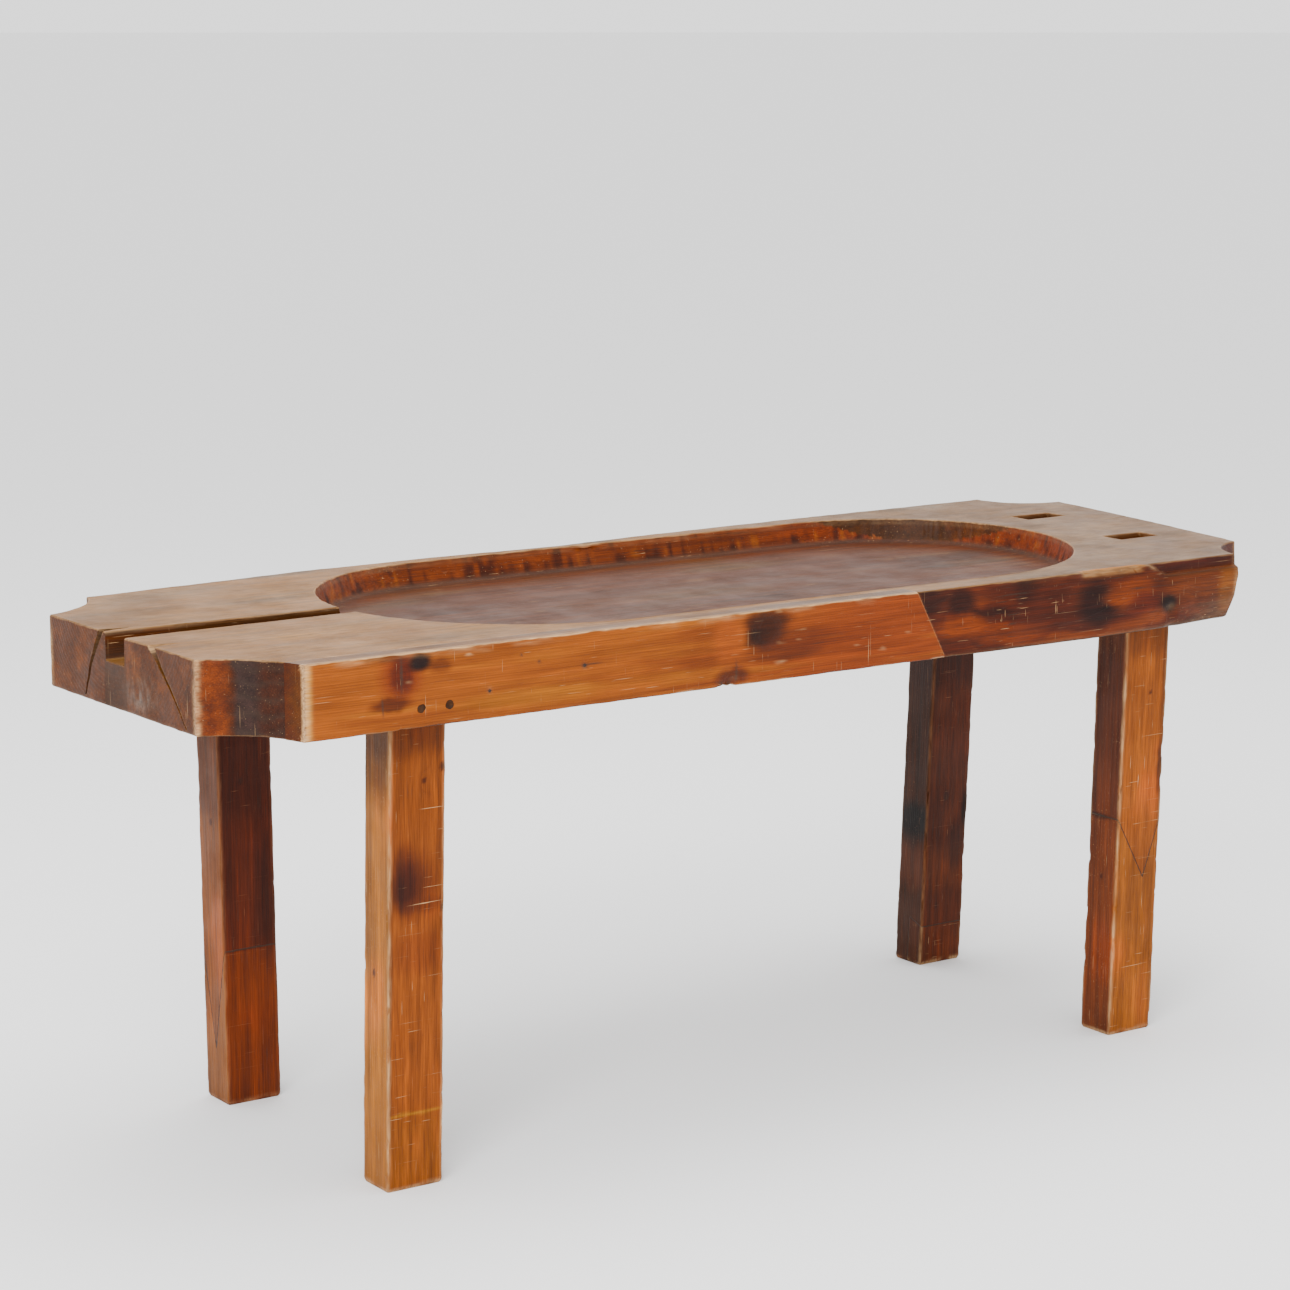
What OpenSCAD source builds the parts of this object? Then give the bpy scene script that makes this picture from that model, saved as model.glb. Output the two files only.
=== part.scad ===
// Cheese making table: a hewn pine slab with a carved draining basin, on four tenoned legs.
// Millimetres, +Z up. X runs along the slab with the drain at the -X end, -Y is the front.
// The origin is on the floor, under the middle of the slab.

/* [Slab] */
// Height of the table top above the floor
table_h = 750; // [700:5:850]
// Overall length of the slab
slab_l = 1890; // [1800:5:2000]
// Overall depth of the slab, front to back
slab_w = 700; // [680:5:740]
// Thickness of the slab
slab_t = 101; // [90:1:130]
// How much narrower the slab is at its drain end
far_taper = 56; // [20:1:80]
// How far the front corner of the right end is set back from the far one
end_skew = 71; // [30:1:90]
// Distance from the front edge to the near corner of the left end
nose_near = 112; // [80:1:130]
// Distance from the far edge to the far corner of the left end
nose_far = 104; // [80:1:130]
// Worn chamfer along the arrises of the slab
slab_arris = 3; // [1:0.5:5]
// How far the natural side of the log stands out past the front board
log_bulge = 7; // [3:0.5:10]
// How far the log rolls under at its front right corner
undercut = 24; // [0:1:40]

/* [Corner scoops] */
// Length along the slab of each hewn corner scoop
scoop_l = 98; // [80:1:110]
// Hollow of the two left corner scoops
scoop_hollow_left = 20; // [8:1:30]
// Hollow of the near right corner scoop
scoop_hollow_near = 22; // [8:1:30]
// Hollow of the far right corner scoop
scoop_hollow_far = 32; // [8:1:38]

/* [Basin] */
// Length of the basin along the slab
basin_l = 1275; // [1200:5:1310]
// Width of the basin at its rim
basin_w = 602; // [560:2:610]
// Depth of the basin
basin_d = 37; // [25:1:42]
// Distance from the drain end of the slab to the basin
basin_from_end = 354; // [320:2:380]
// Distance from the front face of the board to the basin rim
rim_w = 47; // [44:1:60]
// How much the right end of the basin leans with the right end of the slab
basin_skew = 0.12; // [0:0.01:0.16]
// How far the wall of the basin slopes in by the top of its cove
wall_slope = 8; // [3:1:12]
// Radius of the cove between the wall and the floor
cove = 10; // [5:1:14]

/* [Drain channel] */
// Width of the drain channel at the end of the slab
drain_w_out = 56; // [40:1:70]
// Width of the drain channel where it leaves the basin
drain_w_in = 40; // [30:1:50]
// Distance of the channel from the middle of the slab
drain_y = -6; // [-30:1:30]
// Fall of the channel floor along its length
drain_fall = 2; // [0:0.5:6]

/* [Press upright mortises] */
// Length of each mortise along the slab
upright_l = 79; // [60:1:100]
// Width of each mortise
upright_w = 44; // [30:1:60]
// Distance from the middle of the near mortise to the right end
upright_near_end = 167; // [150:1:180]
// Distance from the middle of the far mortise to the right end
upright_far_end = 143; // [130:1:160]
// Distance of the near mortise in front of the middle line
upright_near_y = 108; // [90:1:130]
// Distance of the far mortise behind the middle line
upright_far_y = 141; // [120:1:160]

/* [Front board] */
// Thickness of the board let into the front edge
board_t = 34; // [25:1:36]
// Distance from the left end to the top of the scarf joint
scarf_from_end = 1100; // [1000:5:1200]
// How much longer the board is at its bottom edge
scarf_slant = 53; // [20:1:80]
// Diameter of the wrought nails in the board
nail_d = 4.4; // [3:0.2:6]
// Length of the wrought nails
nail_l = 66; // [45:1:75]

/* [Legs] */
// Width of each leg, along the slab
leg_w = 87; // [75:1:95]
// Depth of each leg, front to back
leg_d = 66; // [58:1:75]
// Worn chamfer along the arrises of the legs
leg_arris = 4; // [2:0.5:8]
// Distance from the left end to the front left leg
front_left_x = 253; // [235:1:265]
// Distance from the front face to the front left leg
front_left_setback = 68; // [64:1:80]
// Distance from the left end to the back left leg
back_left_x = 255; // [235:1:265]
// Distance from the far edge to the back left leg
back_left_setback = 61; // [56:1:75]
// Distance from the right end to the front right leg
front_right_x = 259; // [245:1:280]
// Distance from the front face to the front right leg
front_right_setback = 62; // [60:1:76]
// Distance from the right end to the back right leg
back_right_x = 246; // [235:1:265]
// Distance from the far edge to the back right leg
back_right_setback = 83; // [70:1:90]
// Lean of the top of the front left leg, along X and Y
front_left_lean = [5, -14]; // [-20:1:20]
// Lean of the top of the back left leg, along X and Y
back_left_lean = [-10, -6]; // [-20:1:20]
// Lean of the top of the front right leg, along X and Y
front_right_lean = [4, -16]; // [-20:1:20]
// Lean of the top of the back right leg, along X and Y
back_right_lean = [13, -18]; // [-20:1:20]

/* [Tenons and pegs] */
// Length of the blind tenon on top of each leg
tenon_l = 48; // [38:1:50]
// Width of each tenon
tenon_w = 76; // [70:1:80]
// Depth of each tenon, front to back
tenon_d = 38; // [30:1:42]
// Diameter of the tenon pegs
peg_d = 14; // [10:0.5:16]
// Height of the pegs above the underside of the slab
peg_rise = 26; // [20:1:30]
// Length of the tenon pegs
peg_l = 118; // [105:1:125]
// Distance between the two pegs of a left leg
peg_spacing = 43; // [34:1:46]

/* [Leg repairs] */
// Height at which the splice of the back left leg meets the front face
back_splice_h = 232; // [200:1:260]
// Length of the splice tongue of the back left leg
back_splice_l = 152; // [100:1:180]
// Height at which the splice of the front right leg meets the left face
front_splice_h = 345; // [300:1:400]
// Length of the splice tongue of the front right leg
front_splice_l = 97; // [60:1:140]
// Distance of that tongue from the middle of the leg
front_splice_x = 12; // [-20:1:20]
// Height of the patch on the back right foot at its front
patch_h = 66; // [40:1:100]
// Rise of the top of the patch towards the middle of the leg
patch_rise = 12; // [0:1:25]

/* [Hidden] */
$fn = 48;

// Clearances: between glued or driven faces, round a tenon, and at the blind end of a mortise
seam = 0.2;
tenon_clear = 0.3;
blind_clear = 2;
over = 1;

// Colours of the woods
top_col = "#7d5f45";
board_col = "#b5682a";
leg_col = "#a8682f";
dark_leg_col = "#7a4020";
peg_col = "#5b3a22";
iron_col = "#3a3431";

// Reference planes
half_l = slab_l / 2;
under_h = table_h - slab_t;
front_y = -slab_w / 2 + log_bulge;
far_right_y = slab_w / 2;
far_left_y = far_right_y - far_taper;
basin_floor = table_h - basin_d;

// Corners of the slab in plan, anticlockwise from the near corner of the left end
nose_skew = 6;
corner_a = [-half_l + nose_skew, front_y + nose_near];
corner_b = [-half_l + scoop_l + nose_skew, front_y];
corner_c = [half_l - end_skew - scoop_l + 6, front_y];
corner_d = [half_l - end_skew, front_y + scoop_l];
corner_e = [half_l, far_right_y - scoop_l];
corner_f = [half_l - scoop_l, far_right_y];
corner_g = [-half_l + scoop_l + nose_skew, far_left_y];
corner_h = [-half_l, far_left_y - nose_far];

// Wane of the far edge: [share of its length from the left, rise over the straight line]
far_wane = [[0.21, 19], [0.34, 16], [0.48, -3], [0.6, 8], [0.77, 9]];

// Points on an arc from p to q that hollows by s to the left of the way from p to q
function arc_point(p, q, s, t) =
    let (along = q - p, side = [-along.y, along.x] / norm(along))
    p + along * t + side * 4 * s * t * (1 - t);
function arc_points(p, q, s, n) = [for (i = [1:n - 1]) arc_point(p, q, s, i / n)];

// Outline of the slab in plan
far_edge = [for (w = far_wane) corner_g + (corner_f - corner_g) * w[0] + [0, w[1]]];
far_edge_all = concat([corner_g], far_edge, [corner_f]);
outline = concat(
    [corner_a], arc_points(corner_a, corner_b, scoop_hollow_left, 8), [corner_b],
    [for (t = [0.2, 0.45, 0.62, 0.75, 0.88]) corner_b + (corner_c - corner_b) * t],
    [corner_c], arc_points(corner_c, corner_d, scoop_hollow_near, 8),
    [corner_d], arc_points(corner_d, corner_e, -4, 4),
    [corner_e], arc_points(corner_e, corner_f, scoop_hollow_far, 8),
    [corner_f], [for (i = [len(far_edge) - 1:-1:0]) far_edge[i]],
    [corner_g], arc_points(corner_g, corner_h, scoop_hollow_left, 8),
    [corner_h]);
function far_edge_y(x) = lookup(x, far_edge_all);

// Each level of the slab: [height, chamfer, share of the bulge, share of the undercut].
// The first and last lie just outside the slab, where its chamfers run on.
levels = [[-over, slab_arris + over, 0.6, 1], [slab_arris, 0, 0.8, 0.85],
          [slab_t * 0.35, 0, 1, 0.4], [slab_t * 0.7, 0, 0.6, 0],
          [slab_t - slab_arris, 0, 0.1, 0], [slab_t + over, slab_arris + over, 0, 0]];

// The natural log shows along the front, right of the scarf, and rolls under at corner_c
log_start = -half_l + scarf_from_end + scarf_slant;
function log_share(p) =
    p.y > front_y + over || p.x > corner_c.x + over ? 0
    : min(1, max(0, (p.x - log_start) / 120));
function roll_share(p) = exp(-pow(norm(p - corner_c) / 120, 2));

// The outline moved in along its normals, as one level of the slab
function level_ring(lv) =
    let (n = len(outline))
    [for (i = [0:n - 1])
        let (p = outline[i], step = outline[(i + 1) % n] - outline[(i + n - 1) % n],
             inward = [-step.y, step.x] / norm(step),
             move = lv[1] - log_bulge * lv[2] * log_share(p) + undercut * lv[3] * roll_share(p),
             q = p + inward * move)
        [q.x, q.y, under_h + lv[0]]];

// A closed skin over a stack of rings that have the same number of points
module loft(rings) {
    n = len(rings[0]);
    m = len(rings);
    points = [for (r = rings) each r];
    bottom = [[for (i = [0:n - 1]) i]];
    top = [[for (i = [n - 1:-1:0]) (m - 1) * n + i]];
    sides = [for (k = [0:m - 2], i = [0:n - 1])
        let (a = k * n + i, b = k * n + (i + 1) % n)
        each [[a, b + n, b], [a, a + n, b + n]]];
    polyhedron(points = points, faces = concat(bottom, top, sides), convexity = 6);
}

// The skin is trimmed between the true planes of the top and the underside
module slab_blank() {
    intersection() {
        loft([for (lv = levels) level_ring(lv)]);
        translate([-slab_l, -slab_w, under_h]) cube([2 * slab_l, 2 * slab_w, slab_t]);
    }
}

// Basin
basin_r = basin_w / 2;
basin_y = front_y + rim_w + basin_r;
basin_left_x = -half_l + basin_from_end + basin_r;
basin_right_x = -half_l + basin_from_end + basin_l - basin_r;
basin_steps = 72;

// One ring of the basin, drawn in by inset all round: two half circles, the right one leaning
function basin_ring(inset, z) =
    [for (i = [0:basin_steps - 1])
        let (a = -90 + 360 * (i + 0.5) / basin_steps, right = cos(a) > 0,
             x = (right ? basin_right_x : basin_left_x) + (basin_r - inset) * cos(a),
             y = (basin_r - inset) * sin(a))
        [x + (right ? basin_skew * y : 0), basin_y + y, z]];

module basin_cut() {
    coves = [for (a = [0:30:90])
        basin_ring(slab_arris + wall_slope + cove * (1 - sin(a)),
                   basin_floor + cove * (1 - cos(a)))];
    loft(concat(coves, [
        basin_ring(slab_arris, table_h - slab_arris),
        basin_ring(-over, table_h + over)]));
}

// Drain channel: its plan and its falling floor are two prisms that meet
module drain_cut() {
    out_x = -half_l - over;
    in_x = -half_l + basin_from_end + basin_r / 2;
    foot_x = -half_l + basin_from_end + slab_arris + wall_slope + cove;
    intersection() {
        translate([0, drain_y, under_h])
            linear_extrude(slab_t + over)
            polygon([[out_x, -drain_w_out / 2], [in_x, -drain_w_in / 2],
                     [in_x, drain_w_in / 2], [out_x, drain_w_out / 2]]);
        translate([0, drain_y, 0])
            rotate([90, 0, 0])
            linear_extrude(slab_w, center = true)
            polygon([[out_x, basin_floor - drain_fall], [foot_x, basin_floor],
                     [in_x, basin_floor + over], [in_x, table_h + over],
                     [out_x, table_h + over]]);
    }
}

// Mortises right through the slab, for the two uprights of a cheese press
near_upright = [half_l - upright_near_end, -upright_near_y];
far_upright = [half_l - upright_far_end, upright_far_y];
module upright_cuts() {
    for (p = [near_upright, far_upright])
        translate([p.x, p.y, under_h + slab_t / 2])
            cube([upright_l, upright_w, slab_t + 2 * over], center = true);
}

// Drying checks in the left end: each is [y, height below the top, width] down the end grain
check_run = 45;
near_check = [[-109, 0, 22], [-135, 25, 10], [-163, 50, 6], [-205, 96, 4]];
far_check = [[32, 0, 16], [65, 47, 10], [85, 95, 4]];
module end_check(stations) {
    one_side = [for (s = stations) [s[0] - s[2] / 2, slab_t - s[1]]];
    other_side = [for (i = [len(stations) - 1:-1:0])
        let (s = stations[i]) [s[0] + s[2] / 2, slab_t - s[1]]];
    lip = [[one_side[0].x, slab_t + over], [other_side[len(stations) - 1].x, slab_t + over]];
    translate([-half_l - over, 0, under_h])
        rotate([90, 0, 90])
        linear_extrude(check_run + over)
        polygon(concat(one_side, other_side, [lip[1], lip[0]]));
}

// Flat rebate hewn along the top of the log's side, at its right end
rebate_l = 186;
rebate_h = 18;
rebate_d = 5;
module rebate_cut() {
    start_x = corner_c.x - rebate_l;
    translate([0, front_y + rebate_d, table_h])
        rotate([90, 0, 0])
        linear_extrude(slab_w)
        polygon([[start_x, over], [start_x + 2 * rebate_h, -rebate_h],
                 [half_l, -rebate_h], [half_l, over]]);
}

// Space of the front board: square at its left end, scarfed at its right end
scarf_top_x = -half_l + scarf_from_end;
module board_space(gap) {
    slack = gap * norm([scarf_slant, slab_t]) / slab_t;
    top_x = scarf_top_x + slack - scarf_slant * over / slab_t;
    bottom_x = scarf_top_x + slack + scarf_slant * (1 + over / slab_t);
    translate([0, front_y + board_t + gap, 0])
        rotate([90, 0, 0])
        linear_extrude(slab_w)
        polygon([[-slab_l, under_h - over], [bottom_x, under_h - over],
                 [top_x, table_h + over], [-slab_l, table_h + over]]);
}

// The board keeps the slab's corner scoop at its left end, and has worn front arrises
module front_board_blank() {
    waste = 2 * board_t;
    intersection() {
        translate([0, 0, under_h])
            linear_extrude(slab_t)
            difference() {
                translate([-half_l, front_y])
                    square([scarf_from_end + 2 * scarf_slant, board_t]);
                polygon(concat(
                    [corner_a], arc_points(corner_a, corner_b, scoop_hollow_left, 8), [corner_b],
                    [[corner_b.x, front_y - waste], [corner_a.x - waste, front_y - waste],
                     [corner_a.x - waste, corner_a.y]]));
            }
        translate([-half_l, 0, under_h])
            rotate([90, 0, 90])
            linear_extrude(slab_l)
            polygon([[front_y, slab_arris], [front_y + slab_arris, 0], [front_y + waste, 0],
                     [front_y + waste, slab_t], [front_y + slab_arris, slab_t],
                     [front_y, slab_t - slab_arris]]);
        board_space(0);
    }
}

// Wrought nails through the board: [distance from the left end, height above the underside]
nail_places = [[380, 37], [530, 55]];
nail_sink = 0.5;
nail_head_d = 9;
nail_head_t = 2;
module nails(gap) {
    for (p = nail_places)
        translate([-half_l + p.x, front_y + nail_sink, under_h + p.y])
            rotate([-90, 0, 0]) {
                translate([0, 0, gap > 0 ? -nail_sink - over : 0])
                    cylinder(d = nail_head_d + 2 * gap,
                             h = nail_head_t + (gap > 0 ? nail_sink + over + gap : 0));
                cylinder(d = nail_d + 2 * gap, h = nail_l + gap);
            }
}

// Legs: each is [middle of the foot, lean of its top over the height of the leg]
function top_middle(leg) = leg[0] + leg[1] * (1 + peg_rise / under_h);
left_x = -half_l + leg_w / 2;
right_x = half_l - leg_w / 2;
near_leg_y = front_y + leg_d / 2;
front_left = [[left_x + front_left_x, near_leg_y + front_left_setback], front_left_lean];
front_right = [[right_x - front_right_x, near_leg_y + front_right_setback], front_right_lean];
back_left = [[left_x + back_left_x, far_edge_y(left_x + back_left_x)
              - leg_d / 2 - back_left_setback], back_left_lean];
back_right = [[right_x - back_right_x, far_edge_y(right_x - back_right_x)
               - leg_d / 2 - back_right_setback], back_right_lean];
legs = [front_left, back_left, front_right, back_right];

// Stands its children on the foot of a leg, leaning with it
module lean_with(leg) {
    translate([leg[0].x, leg[0].y, 0])
        rotate([atan2(-leg[1].y, under_h), atan2(leg[1].x, under_h), 0])
        children();
}

// Square section with worn arrises
module hewn_section(w, d, c) {
    polygon([[-w / 2 + c, -d / 2], [w / 2 - c, -d / 2], [w / 2, -d / 2 + c], [w / 2, d / 2 - c],
             [w / 2 - c, d / 2], [-w / 2 + c, d / 2], [-w / 2, d / 2 - c], [-w / 2, -d / 2 + c]]);
}

// The shaft stops square to the floor at the foot and under the slab at the shoulder
module leg_shaft(leg) {
    spare = leg_w;
    intersection() {
        lean_with(leg)
            translate([0, 0, -spare])
            linear_extrude(under_h + 2 * spare)
            hewn_section(leg_w, leg_d, leg_arris);
        translate([leg[0].x - leg_w, leg[0].y - leg_w, 0])
            cube([2 * leg_w, 2 * leg_w, under_h]);
    }
}

// The tenon, or with a gap the blind mortise that takes it
module tenon(leg, gap = 0) {
    root = 6;
    lean_with(leg)
        translate([-tenon_w / 2 - gap, -tenon_d / 2 - gap, under_h - root])
        cube([tenon_w + 2 * gap, tenon_d + 2 * gap,
              root + tenon_l + (gap > 0 ? blind_clear : 0)]);
}

// Pegs through the slab edge and the tenon: side is -1 from the front, 1 from the back
peg_shift = -5.5;
pair = [peg_shift - peg_spacing / 2, peg_shift + peg_spacing / 2];
single = [0];
module pegs(leg, places, side, gap = 0) {
    for (place = places) {
        x = top_middle(leg).x + place;
        face_y = side < 0 ? front_y : far_edge_y(x) - over;
        extra = gap > 0 ? 2 * log_bulge : 0;
        translate([x, face_y + side * extra, under_h + peg_rise])
            rotate([side * 90, 0, 0])
            cylinder(d = peg_d + 2 * gap, h = extra + peg_l + (gap > 0 ? blind_clear : 0));
    }
}
module all_pegs(gap) {
    pegs(front_left, pair, -1, gap);
    pegs(front_right, single, -1, gap);
    pegs(back_left, pair, 1, gap);
    pegs(back_right, single, 1, gap);
}

// Everything of a leg below a V splice whose tongue hangs from arm_h, seen along the section
module below_splice(half, arm_h, tongue, apex, gap) {
    wide = 2 * leg_w;
    lift = gap * norm([half, tongue]) / half;
    polygon([[-wide, -wide], [wide, -wide], [wide, arm_h + lift], [half, arm_h + lift],
             [apex, arm_h - tongue + lift], [-half, arm_h + lift], [-wide, arm_h + lift]]);
}
module back_splice(gap = 0) {
    lean_with(back_left)
        rotate([90, 0, 90])
        linear_extrude(4 * leg_w, center = true)
        below_splice(leg_d / 2, back_splice_h, back_splice_l, 0, gap);
}
module front_splice(gap = 0) {
    lean_with(front_right)
        rotate([90, 0, 0])
        linear_extrude(4 * leg_w, center = true)
        below_splice(leg_w / 2, front_splice_h, front_splice_l, front_splice_x, gap);
}

// The patch takes the front half of the foot, and its top rises to the middle of the leg
module patch_space(gap = 0) {
    wide = 2 * leg_w;
    lean_with(back_right)
        rotate([90, 0, 90])
        linear_extrude(4 * leg_w, center = true)
        polygon([[-wide, -wide], [gap, -wide], [gap, patch_h + patch_rise + gap],
                 [-leg_d / 2, patch_h + gap], [-wide, patch_h + gap]]);
}

module slab() {
    color(top_col)
        difference() {
            slab_blank();
            board_space(seam);
            basin_cut();
            drain_cut();
            upright_cuts();
            end_check(near_check);
            end_check(far_check);
            rebate_cut();
            for (leg = legs) tenon(leg, tenon_clear);
            all_pegs(seam);
            nails(seam);
        }
}

module front_edge_board() {
    color(board_col)
        difference() {
            front_board_blank();
            pegs(front_left, pair, -1, seam);
            nails(seam);
        }
}

module board_nails() {
    color(iron_col) nails(0);
}

module leg_front_left() {
    color(leg_col)
        difference() {
            union() {
                leg_shaft(front_left);
                tenon(front_left);
            }
            pegs(front_left, pair, -1, seam);
        }
}

module leg_back_left() {
    color(dark_leg_col)
        difference() {
            union() {
                leg_shaft(back_left);
                tenon(back_left);
            }
            back_splice(seam);
            pegs(back_left, pair, 1, seam);
        }
}

module leg_back_left_foot() {
    color(leg_col)
        intersection() {
            leg_shaft(back_left);
            back_splice();
        }
}

module leg_front_right() {
    color(leg_col)
        difference() {
            union() {
                leg_shaft(front_right);
                tenon(front_right);
            }
            front_splice(seam);
            pegs(front_right, single, -1, seam);
        }
}

module leg_front_right_foot() {
    color(board_col)
        intersection() {
            leg_shaft(front_right);
            front_splice();
        }
}

module leg_back_right() {
    color(dark_leg_col)
        difference() {
            union() {
                leg_shaft(back_right);
                tenon(back_right);
            }
            patch_space(seam);
            pegs(back_right, single, 1, seam);
        }
}

module leg_back_right_foot_patch() {
    color(leg_col)
        intersection() {
            leg_shaft(back_right);
            patch_space();
        }
}

module front_left_leg_pegs() {
    color(peg_col) pegs(front_left, pair, -1);
}

module front_right_leg_peg() {
    color(peg_col) pegs(front_right, single, -1);
}

module back_left_leg_pegs() {
    color(peg_col) pegs(back_left, pair, 1);
}

module back_right_leg_peg() {
    color(peg_col) pegs(back_right, single, 1);
}

slab();
front_edge_board();
board_nails();
leg_front_left();
leg_back_left();
leg_back_left_foot();
leg_front_right();
leg_front_right_foot();
leg_back_right();
leg_back_right_foot_patch();
front_left_leg_pegs();
front_right_leg_peg();
back_left_leg_pegs();
back_right_leg_peg();
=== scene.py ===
"""Farmhouse cheese making table in old hewn pine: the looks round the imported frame.

A thick slab with a carved draining basin stands on four square legs. A straight-grained board is let
into its front edge, two legs are spliced and one foot is patched. Shapes are worked out in millimetres
in the frame's own axes: X along the slab, -Y at the front, +Z up, and go into the meshes in metres.
"""
import math

import bmesh
import bpy
import numpy as np
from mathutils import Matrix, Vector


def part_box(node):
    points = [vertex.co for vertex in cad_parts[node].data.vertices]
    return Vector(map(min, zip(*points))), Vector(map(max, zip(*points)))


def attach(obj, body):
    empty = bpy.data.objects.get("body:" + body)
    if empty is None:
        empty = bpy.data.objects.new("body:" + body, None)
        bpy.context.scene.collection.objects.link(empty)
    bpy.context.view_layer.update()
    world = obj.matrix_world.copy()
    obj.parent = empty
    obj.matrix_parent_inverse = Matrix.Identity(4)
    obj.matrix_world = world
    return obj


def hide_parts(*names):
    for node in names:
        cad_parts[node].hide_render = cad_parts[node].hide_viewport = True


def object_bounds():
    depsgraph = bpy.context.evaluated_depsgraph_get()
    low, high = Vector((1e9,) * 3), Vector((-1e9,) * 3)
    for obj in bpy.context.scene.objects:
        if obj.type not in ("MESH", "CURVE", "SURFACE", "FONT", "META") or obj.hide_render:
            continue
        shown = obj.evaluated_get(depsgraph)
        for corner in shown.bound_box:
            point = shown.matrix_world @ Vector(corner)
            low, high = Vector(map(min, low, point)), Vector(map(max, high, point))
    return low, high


bl_info = {
    "name": "Cheese making table",
    "version": (1, 0, 0),
    "blender": (4, 5, 0),
    "location": "View3D > Sidebar > Cheese table",
    "description": "Builds an old pine cheese making table piece by piece",
    "category": "Add Mesh",
}

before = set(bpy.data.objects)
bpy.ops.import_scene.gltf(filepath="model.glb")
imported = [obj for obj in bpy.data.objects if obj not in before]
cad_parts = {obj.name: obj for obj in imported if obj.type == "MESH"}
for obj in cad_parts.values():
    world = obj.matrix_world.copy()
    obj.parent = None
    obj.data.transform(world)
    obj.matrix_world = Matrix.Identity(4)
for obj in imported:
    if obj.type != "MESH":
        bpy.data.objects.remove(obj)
CAD_BOX = [list(corner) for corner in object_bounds()]
LOW, HIGH = (np.array(corner) * 1000 for corner in CAD_BOX)


def linear(hex_colour):
    """Turns an sRGB hex colour into the linear red, green and blue that shaders take."""
    srgb = [int(hex_colour[i:i + 2], 16) / 255 for i in (1, 3, 5)]
    return [c / 12.92 if c <= 0.04045 else ((c + 0.055) / 1.055) ** 2.4 for c in srgb]


def colour(name, description, hex_colour):
    """A colour that a user can change, given as sRGB hex."""
    return bpy.props.FloatVectorProperty(name=name, description=description, subtype="COLOR",
                                         size=3, min=0, max=1, default=linear(hex_colour))


def length(name, description, millimetres):
    """A length that a user can change, given in millimetres and kept in metres."""
    return bpy.props.FloatProperty(name=name, description=description, unit="LENGTH",
                                   subtype="DISTANCE", min=0, default=millimetres / 1000)


class SlabSettings(bpy.types.PropertyGroup):
    thickness: length("Thickness", "Thickness of the slab", 101)
    basin_length: length("Basin length", "Length of the basin at its rim", 1275)
    basin_width: length("Basin width", "Width of the basin at its rim", 602)
    basin_depth: length("Basin depth", "Depth of the basin", 37)
    basin_end: length("Basin from end", "From the drain end to the basin", 354)
    rim: length("Front rim", "From the front face to the basin", 47)
    arris: length("Worn arris", "Usual radius of the worn arrises", 3)
    gouge: length("Gouge width", "Width of the gouge marks on the basin wall", 13)
    tan: colour("Scrubbed top", "Scrubbed pine of the top", "#997655")
    grey: colour("Grey streaks", "Weathered streaks of the top", "#5b473a")
    right: colour("Right end", "Greyer top at the right end", "#765f50")
    floor: colour("Basin floor", "Whey-stained basin floor", "#775443")
    floor_dark: colour("Floor stains", "Dark stains of the basin floor", "#4a3a33")
    wall: colour("Basin wall", "Reddish carved wall of the basin", "#935433")
    end: colour("End grain", "Brown end grain", "#744c33")
    scoop: colour("Oiled scoop", "Orange end grain of a scoop", "#94501f")
    soot: colour("Soot", "Soot and old grime", "#2e2523")
    bloom: colour("Grey bloom", "Grey bloom on end grain", "#a5a09b")
    log: colour("Log side", "Dark red side of the log", "#6b3216")
    flame: colour("Flame", "Orange flame figure of the log", "#a2581f")
    chip: colour("Fresh chip", "Pale wood of a fresh break", "#cf9256")
    worn: colour("Worn arris", "Pale wood of worn arrises", "#cda271")
    # The underside colour is a darker brown given to faces that look down: painted shade
    under: colour("Underside", "Bare underside", "#6a4d36")


class BoardSettings(bpy.types.PropertyGroup):
    thickness: length("Thickness", "Thickness of the front board", 34)
    scarf: length("Scarf", "From the left end to the top of the scarf", 1100)
    slant: length("Scarf slant", "How much longer the bottom edge is", 53)
    honey: colour("Honey pine", "Oiled pine of the board", "#b9702f")
    amber: colour("Amber pine", "Deeper pine at the scarf", "#ab5a1f")
    knot: colour("Knot", "Dark red knots", "#6a2f16")


class LegSettings(bpy.types.PropertyGroup):
    width: length("Width", "Width of a leg along the slab", 87)
    depth: length("Depth", "Depth of a leg, front to back", 66)
    arris: length("Worn arris", "Usual radius of the worn arrises", 3.5)
    tenon: length("Tenon", "Length of the blind tenons", 48)
    straw: colour("Straw pine", "Scrubbed pale pine", "#c48c56")
    orange: colour("Orange pine", "Oiled orange pine", "#b06a34")
    red: colour("Red pine", "Dark red oiled pine", "#753a20")
    brown: colour("Brown pine", "Smoky brown pine", "#5a3724")


class PegSettings(bpy.types.PropertyGroup):
    diameter: length("Peg diameter", "Diameter of the tenon pegs", 14)
    end_grain: colour("Peg end", "Dirty end grain of the pegs", "#5d4029")
    iron: colour("Nail iron", "Blackened wrought iron", "#241f1d")


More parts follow.
